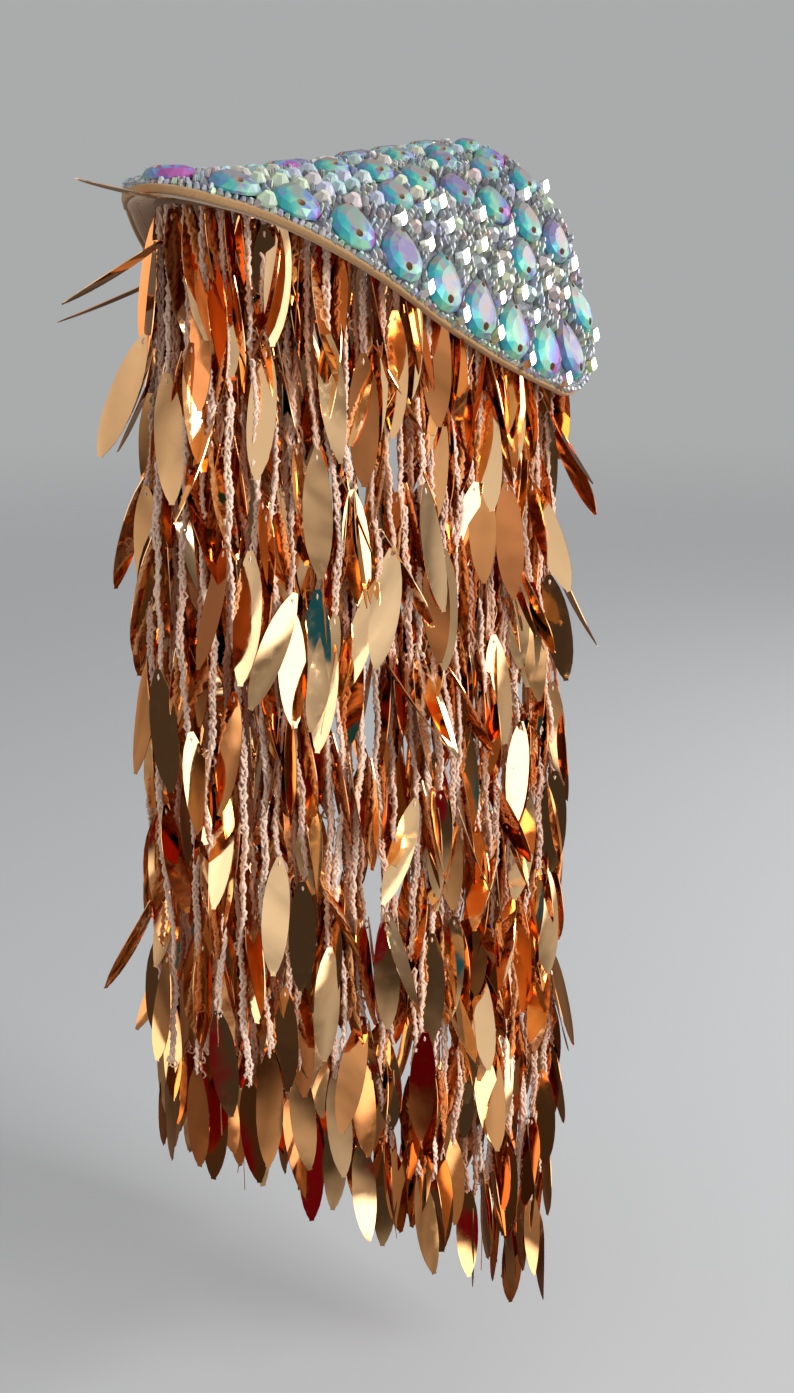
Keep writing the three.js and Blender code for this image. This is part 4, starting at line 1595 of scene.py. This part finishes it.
class EPAULETTE_OT_stones(bpy.types.Operator):
    """Set the drop stones in their rows"""

    bl_idname = "epaulette.stones"
    bl_label = "Drop stones"

    def execute(self, context):
        own, added = stone_places()
        rng = np.random.default_rng(context.scene.epaulette_stones.seed)
        finish = stone_finish()
        stood_for = [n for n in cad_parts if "_stone_" in n]
        if len(stood_for) != len(own):
            raise RuntimeError(f"{len(own)} stones stand for {len(stood_for)} solids")
        for name, group, nodes in (("drop_stones", own, stood_for), ("ridge_stones", added, ())):
            shapes = [drop_stone_mesh(f"drop_{k}", STONE_SEED + k) for k in range(STONE_KINDS)]
            seat = BED_TOP - 0.1 * MM
            piece = set_on_points(
                name, shapes, finish, *seats(group, seat, STONE_TOP - seat),
                rng.integers(0, len(shapes), len(group)), rng.uniform(-0.5, 0.5, len(group)), faceted=True,
            )
            keep(piece, nodes)
        return {"FINISHED"}


class EPAULETTE_OT_crystals(bpy.types.Operator):
    """Cover the cap between the drop stones with small crystals"""

    bl_idname = "epaulette.crystals"
    bl_label = "Small crystals"

    def execute(self, context):
        stones = context.scene.epaulette_stones
        rng = np.random.default_rng(stones.seed + 1)
        layers = (
            (2.9 * MM, BED_TOP), (2.5 * MM, BED_TOP - 0.4 * MM), (2.5 * MM, 0.3 * MM), (2.5 * MM, 0.02 * MM),
        )
        mesh = cap_shell("crystal_bed", layers, 48, (22, 52, 18), math.radians(40))
        mesh.materials.append(bed_finish(stones.bed_colour))
        keep(add_object("crystal_bed", mesh), ["crystal_field"])
        finish = chip_finish()
        field = CapField(sum(stone_places(), []))
        self.set_rounds(rng, field, finish)
        self.set_kites(rng, field)
        self.set_rim(rng, stones, finish)
        self.strew_chips(rng, field, stones, finish)
        return {"FINISHED"}

    def set_rounds(self, rng, field, finish):
        """Pale round stones on the ridge, and fewer of them down the sides."""
        rounds = field.scatter(rng, 1, **RIDGE_ROUNDS)
        for _, sign in HALVES:
            rounds += field.scatter(rng, sign, **SIDE_ROUNDS)
        shape = chip_mesh("round_stone", round_outline(0.5, 9), 0.46, 1.0, 7)
        piece = set_on_points(
            "round_stones", [shape], finish, *seats(rounds, BED_TOP - 0.2 * MM, STREWN_HEIGHT),
            np.zeros(len(rounds)), rng.uniform(0.62, 1.0, len(rounds)),
        )
        keep(piece)

    def set_kites(self, rng, field):
        """Flat kites that catch the light, on the sides."""
        kites = []
        for _, sign in HALVES:
            kites += field.scatter(rng, sign, **KITES)
        shape = chip_mesh("kite", kite_outline(1, 1), 0.86, 1.0)
        places, turns, sizes = seats(kites, BED_TOP + 0.2 * MM, STREWN_HEIGHT)
        turns = [self.tipped(place, turn) for place, turn in zip(places, turns)]
        piece = set_on_points(
            "sparkle_kites", [shape], kite_finish(), places, turns, sizes,
            np.zeros(len(kites)), rng.uniform(0, 1, len(kites)),
        )
        keep(piece)

    def tipped(self, place, turn):
        """The turn of a kite, tipped so that it flashes with the side light, its point up and inwards."""
        normal = Euler(turn).to_quaternion() @ Vector((0, 0, 1))
        mirror = Vector((1, math.copysign(1, -place.y), 1))
        spot = place * mirror
        flash = (CAMERA_PLACE - spot).normalized() + (SIDE_LIGHT - spot).normalized()
        tip = normal.rotation_difference(flash * mirror)
        face = Quaternion(tip.axis, min(tip.angle, KITE_TIP)) @ normal
        point = KITE_POINT * mirror
        blunt = (face * point.dot(face) - point).normalized()
        return Matrix((blunt.cross(face), blunt, face)).transposed().to_euler()

    def set_rim(self, rng, stones, finish):
        """Uneven small crystals along the edge."""
        run, row = half_outline(RIM_INSET, 60, 200, 50)[0], []
        steps = lengths_along(run)
        for _, sign in HALVES:
            for distance in np.arange(stones.rim_pitch / 2, steps[-1], stones.rim_pitch):
                u, a = (np.interp(distance, steps, run[:, k]) for k in (0, 1))
                row.append(cap_frame(u, sign * a, sign * math.pi / 2 + rng.normal(0, 0.5), 0.0))
        for a in np.arange(-run[-1, 1], run[-1, 1], stones.rim_pitch):
            row.append(cap_frame(NECK_U - RIM_INSET, a, rng.uniform(0, 6), 0.0))
        outline = kite_outline(RIM_WIDTH, RIM_LENGTH)
        shapes = [chip_mesh(f"rim_{k}", outline, 0.55, RIM_HEIGHT, 10 + k) for k in range(RIM_KINDS)]
        piece = set_on_points(
            "rim_crystals", shapes, finish, [p for p, _ in row], [t for _, t in row],
            rng.uniform(0.7, 1.15, (len(row), 3)), rng.integers(0, len(shapes), len(row)),
            rng.uniform(0.2, 1, len(row)),
        )
        keep(piece)

    def strew_chips(self, rng, field, stones, finish):
        """Slivers that lie down the slope in uneven rows, wherever there is room."""
        shapes = [chip_mesh(f"sliver_{k}", kite_outline(1, 1), 0.5, 1.0, k) for k in range(CHIP_KINDS)]
        places, turns, sizes = [], [], []
        shear = math.tan(CHIP_SLANT)
        columns = np.arange(TIP_U, NECK_U + CORNER_A * shear, stones.chip_spacing)
        for k, column in enumerate(columns):
            for a in np.arange(-CORNER_A, CORNER_A, stones.chip_row) + stones.chip_row * (0.5 * k % 1):
                u_here = column - abs(a) * shear + rng.uniform(-0.3, 0.3) * stones.chip_spacing
                a_here = a + rng.uniform(-0.35, 0.35) * stones.chip_row
                width = rng.uniform(0.85, 1.3) * stones.chip_spacing
                length = rng.uniform(1.1, 1.7) * stones.chip_row
                heading = math.copysign(math.pi / 2 + CHIP_SLANT, a) + rng.normal(0, 0.2)
                if field.free(u_here, a_here, stones.chip_clearance, CHIP_BORDER):
                    place, turn = cap_frame(u_here, a_here, heading, BED_TOP - 0.25 * MM)
                    places.append(place)
                    turns.append(turn)
                    rise = min(0.4 + 0.6 * field.depth(u_here, a_here) / CHIP_FULL_DEPTH, 1.0)
                    sizes.append((width, length, rng.uniform(2.3, 3.9) * rise * MM))
        piece = set_on_points(
            "crystal_chips", shapes, finish, places, turns, sizes,
            rng.integers(0, len(shapes), len(places)), rng.uniform(0, 1, len(places)),
        )
        keep(piece)


class EPAULETTE_OT_fringe(bpy.types.Operator):
    """Hang the plaited strands and the leaf sequins"""

    bl_idname = "epaulette.fringe"
    bl_label = "Fringe"

    def execute(self, context):
        settings = context.scene.epaulette_fringe
        yarn = yarn_finish(settings.yarn_colour)
        gold = leaf_finish(settings.leaf_colour)
        tape = thread_finish("header_tape", settings.tape_colour)
        strands = hang_strands(settings)
        leaves = hang_leaves(strands, settings)
        rng = np.random.default_rng(settings.seed + 3)
        for half, sign in HALVES:
            nodes = [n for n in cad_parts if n.startswith(f"fringe_{half}")]
            mesh = header_tape_mesh(f"header_tape_{half}", sign)
            mesh.materials.append(tape)
            keep(add_object(f"header_tape_{half}", mesh), nodes)
            for row, label in enumerate(("outer", "inner")):
                chosen = [s for s in strands if s.half == half and s.row == row]
                points, links, turns, shades = [], [], [], []
                for strand in chosen:
                    path = strand.path()
                    links += [(len(points) + k, len(points) + k + 1) for k in range(len(path) - 1)]
                    points += list(path)
                    turns += [strand.turn] * len(path)
                    shades += [strand.shade] * len(path)
                name = f"yarn_{half}_{label}"
                # Each point carries its strand's share of painted shade.
                base = points_mesh(
                    name, points, links, turn=np.array(turns, np.float32), shade=np.array(shades, np.float32)
                )
                keep(plait_tree(settings.yarn_width, yarn).grow(name, base), nodes)
            self.hang_threads(half, strands, yarn, nodes)
            hung = [leaf for leaf in leaves if leaf["strand"].half == half]
            shapes = [leaf_mesh(name, settings, *bend) for name, *bend in LEAF_SHAPES]
            piece = set_on_points(
                f"leaves_{half}", shapes, gold, [leaf["place"] for leaf in hung],
                [leaf["turn"].to_euler() for leaf in hung],
                rng.uniform(0.94, 1.05, (len(hung), 1)) * np.ones(3),
                [leaf["kind"] for leaf in hung], [leaf["tint"] for leaf in hung],
            )
            keep(piece, nodes)
            rings = [loop_mesh("leaf_loop", 1.75 * MM, 0.42 * MM)]
            piece = set_on_points(
                f"leaf_loops_{half}", rings, yarn,
                [leaf["place"] - Vector(leaf["facing"]) * 1.5 * MM for leaf in hung],
                [Euler((0, 0, math.atan2(-leaf["facing"][0], leaf["facing"][1]))) for leaf in hung],
                np.ones((len(hung), 3)), np.zeros(len(hung)), np.zeros(len(hung)),
            )
            keep(piece, nodes)
        return {"FINISHED"}

    def hang_threads(self, half, strands, yarn, nodes):
        """Loose ends of yarn below a few strands."""
        chosen = [s for s in strands if s.half == half and s.row == 0][1::THREAD_EVERY]
        points, links = [], []
        for strand in chosen:
            end = strand.at(strand.yarn_length) + strand.out * 1.5 * MM
            for k in range(THREAD_POINTS):
                if k:
                    links.append((len(points) - 1, len(points)))
                points.append(end - np.array([0, 0, THREAD_STEP * k]))
        # Loose threads take the yarn's painted shade colour in full.
        marks = {"turn": np.zeros(len(points), np.float32), "shade": np.ones(len(points), np.float32)}
        name = f"loose_threads_{half}"
        base = points_mesh(name, points, links, **marks)
        keep(plait_tree(THREAD_WIDTH, yarn).grow(name, base), nodes)


class EPAULETTE_OT_stage(bpy.types.Operator):
    """Make the pale floor, the soft light and the camera"""

    bl_idname = "epaulette.stage"
    bl_label = "Stage"

    def execute(self, context):
        stage = context.scene.epaulette_stage
        low, high = CAD_BOX
        self.make_floor(stage, low.z - stage.floor_drop)
        self.make_world(context.scene, stage)
        middle = Vector((0, 0, (low.z + high.z) / 2))
        key = middle + CAMERA_RIGHT * 1.5 - CAMERA_AHEAD * 1.0 + Vector((0, 0, 0.85))
        fill = middle - CAMERA_RIGHT * 1.7 - CAMERA_AHEAD * 0.6 + Vector((0, 0, 0.9))
        self.make_light("key_light", key, middle, (0.65, 0.8), stage.key_power)
        self.make_light("side_light", SIDE_LIGHT, middle, (0.8, 1.1), stage.side_power)
        self.make_light("fill_light", fill, middle, (1.2, 1.2), stage.fill_power)
        camera = bpy.data.cameras.new("camera")
        camera.sensor_width = SENSOR
        camera.lens = PHOTO_FOCAL / max(PHOTO_WIDTH, PHOTO_HEIGHT) * SENSOR
        camera.clip_start, camera.clip_end = 0.01, 100
        eye = add_object("camera", camera)
        look = CAMERA_AHEAD * math.cos(CAMERA_PITCH) - Vector((0, 0, math.sin(CAMERA_PITCH)))
        eye.location = CAMERA_PLACE
        eye.rotation_euler = look.to_track_quat("-Z", "Y").to_euler()
        context.scene.camera = eye
        context.scene.view_settings.view_transform = "Standard"
        return {"FINISHED"}

    def make_floor(self, stage, height):
        """A round floor that fades out towards its edge."""
        reach, around = 6.0, 96
        turn = np.arange(around) / around * 2 * math.pi
        ring = np.stack([reach * np.cos(turn), reach * np.sin(turn), np.full(around, height)], axis=-1)
        mesh = solid_mesh("floor", ring, [list(range(around))])
        constants = {"Base Color": (*stage.floor_colour, 1), "Roughness": 0.8}
        material = make_material("pale_floor", constants, lambda tree: {})
        tree = ShaderTree(material.node_tree)
        shader = material.node_tree.nodes["Principled BSDF"]
        flat = tree.place((1, 1, 0))
        far = tree.node("ShaderNodeVectorMath", {"operation": "LENGTH"}, {0: flat}, out="Value")
        clear = tree.node("ShaderNodeBsdfTransparent")
        faded = tree.node("ShaderNodeMixShader", {}, {0: tree.smooth(far, 0.9, 4.0), 2: clear})
        tree.tree.links.new(shader.outputs[0], faded.socket.node.inputs[1])
        tree.tree.links.new(faded.socket, material.node_tree.nodes["Material Output"].inputs[0])
        mesh.materials.append(material)
        floor = add_object("floor", mesh)
        floor.visible_glossy = False

    def make_world(self, scene, stage):
        """Soft surroundings: pale above, darker low down, with bright and coloured patches to mirror."""
        world = bpy.data.worlds.new("pale_room")
        world.use_nodes = True
        scene.world = world
        tree = ShaderTree(world.node_tree)
        towards = tree.node("ShaderNodeTexCoord", out="Generated")
        rise = tree.dot(towards, (0, 0, 1))
        near = tree.ramp(rise * 0.5 + 0.5, NEAR_SHADES)
        far = tree.ramp(rise * 0.5 + 0.5, FAR_SHADES)
        room = tree.mix(tree.smooth(tree.dot(towards, tuple(CAMERA_AHEAD)), -0.35, 0.5), near, far)

        blotch = tree.noise(towards, 2.6, 2)
        room = tree.mix(1.0, room, tree.ramp(blotch, BLOTCHES), "MULTIPLY")
        for name, spread, edge, colour in ROOM_PATCHES:
            outer, inner = math.cos(math.radians(spread + edge)), math.cos(math.radians(spread))
            inside = tree.smooth(tree.dot(towards, tuple(ROOM[name].normalized())), outer, inner)
            room = tree.mix(inside, room, colour)
        seen = tree.node("ShaderNodeLightPath", out="Is Camera Ray")
        shown = tree.mix(seen, room, tuple(stage.wall_colour))
        background = world.node_tree.nodes["Background"]
        tree.tree.links.new(shown.socket, background.inputs["Color"])
        background.inputs["Strength"].default_value = 1.0

    def make_light(self, name, place, target, size, power):
        light = bpy.data.lights.new(name, "AREA")
        light.shape = "RECTANGLE"
        light.size, light.size_y = size
        light.energy = power
        made = add_object(name, light)
        made.location = place
        made.rotation_euler = (target - place).to_track_quat("-Z", "Y").to_euler()


PIECE_OPERATORS = (
    EPAULETTE_OT_stage,
    EPAULETTE_OT_felt_cap,
    EPAULETTE_OT_lining,
    EPAULETTE_OT_pad,
    EPAULETTE_OT_stones,
    EPAULETTE_OT_crystals,
    EPAULETTE_OT_fringe,
)


class EPAULETTE_PT_panel(bpy.types.Panel):
    """Lists the pieces of the epaulette"""

    bl_idname = "EPAULETTE_PT_panel"
    bl_label = "Shoulder epaulette"
    bl_space_type = "VIEW_3D"
    bl_region_type = "UI"
    bl_category = "Epaulette"

    def draw(self, context):
        for operator in PIECE_OPERATORS:
            self.layout.operator(operator.bl_idname)
        for label in SETTINGS:
            group = getattr(context.scene, label)
            for name in group.__annotations__:
                self.layout.prop(group, name)


SETTINGS = {
    "epaulette_cap": CapSettings,
    "epaulette_stones": StoneSettings,
    "epaulette_fringe": FringeSettings,
    "epaulette_stage": StageSettings,
}


def register():
    for group in (*SETTINGS.values(), *PIECE_OPERATORS, EPAULETTE_PT_panel):
        bpy.utils.register_class(group)
    for label, group in SETTINGS.items():
        setattr(bpy.types.Scene, label, PointerProperty(type=group))


def unregister():
    for label in SETTINGS:
        delattr(bpy.types.Scene, label)
    for group in (EPAULETTE_PT_panel, *PIECE_OPERATORS[::-1], *SETTINGS.values()):
        bpy.utils.unregister_class(group)


def main():
    register()
    for operator in PIECE_OPERATORS:
        group, name = operator.bl_idname.split(".")
        getattr(getattr(bpy.ops, group), name)()


if __name__ == "__main__":
    main()
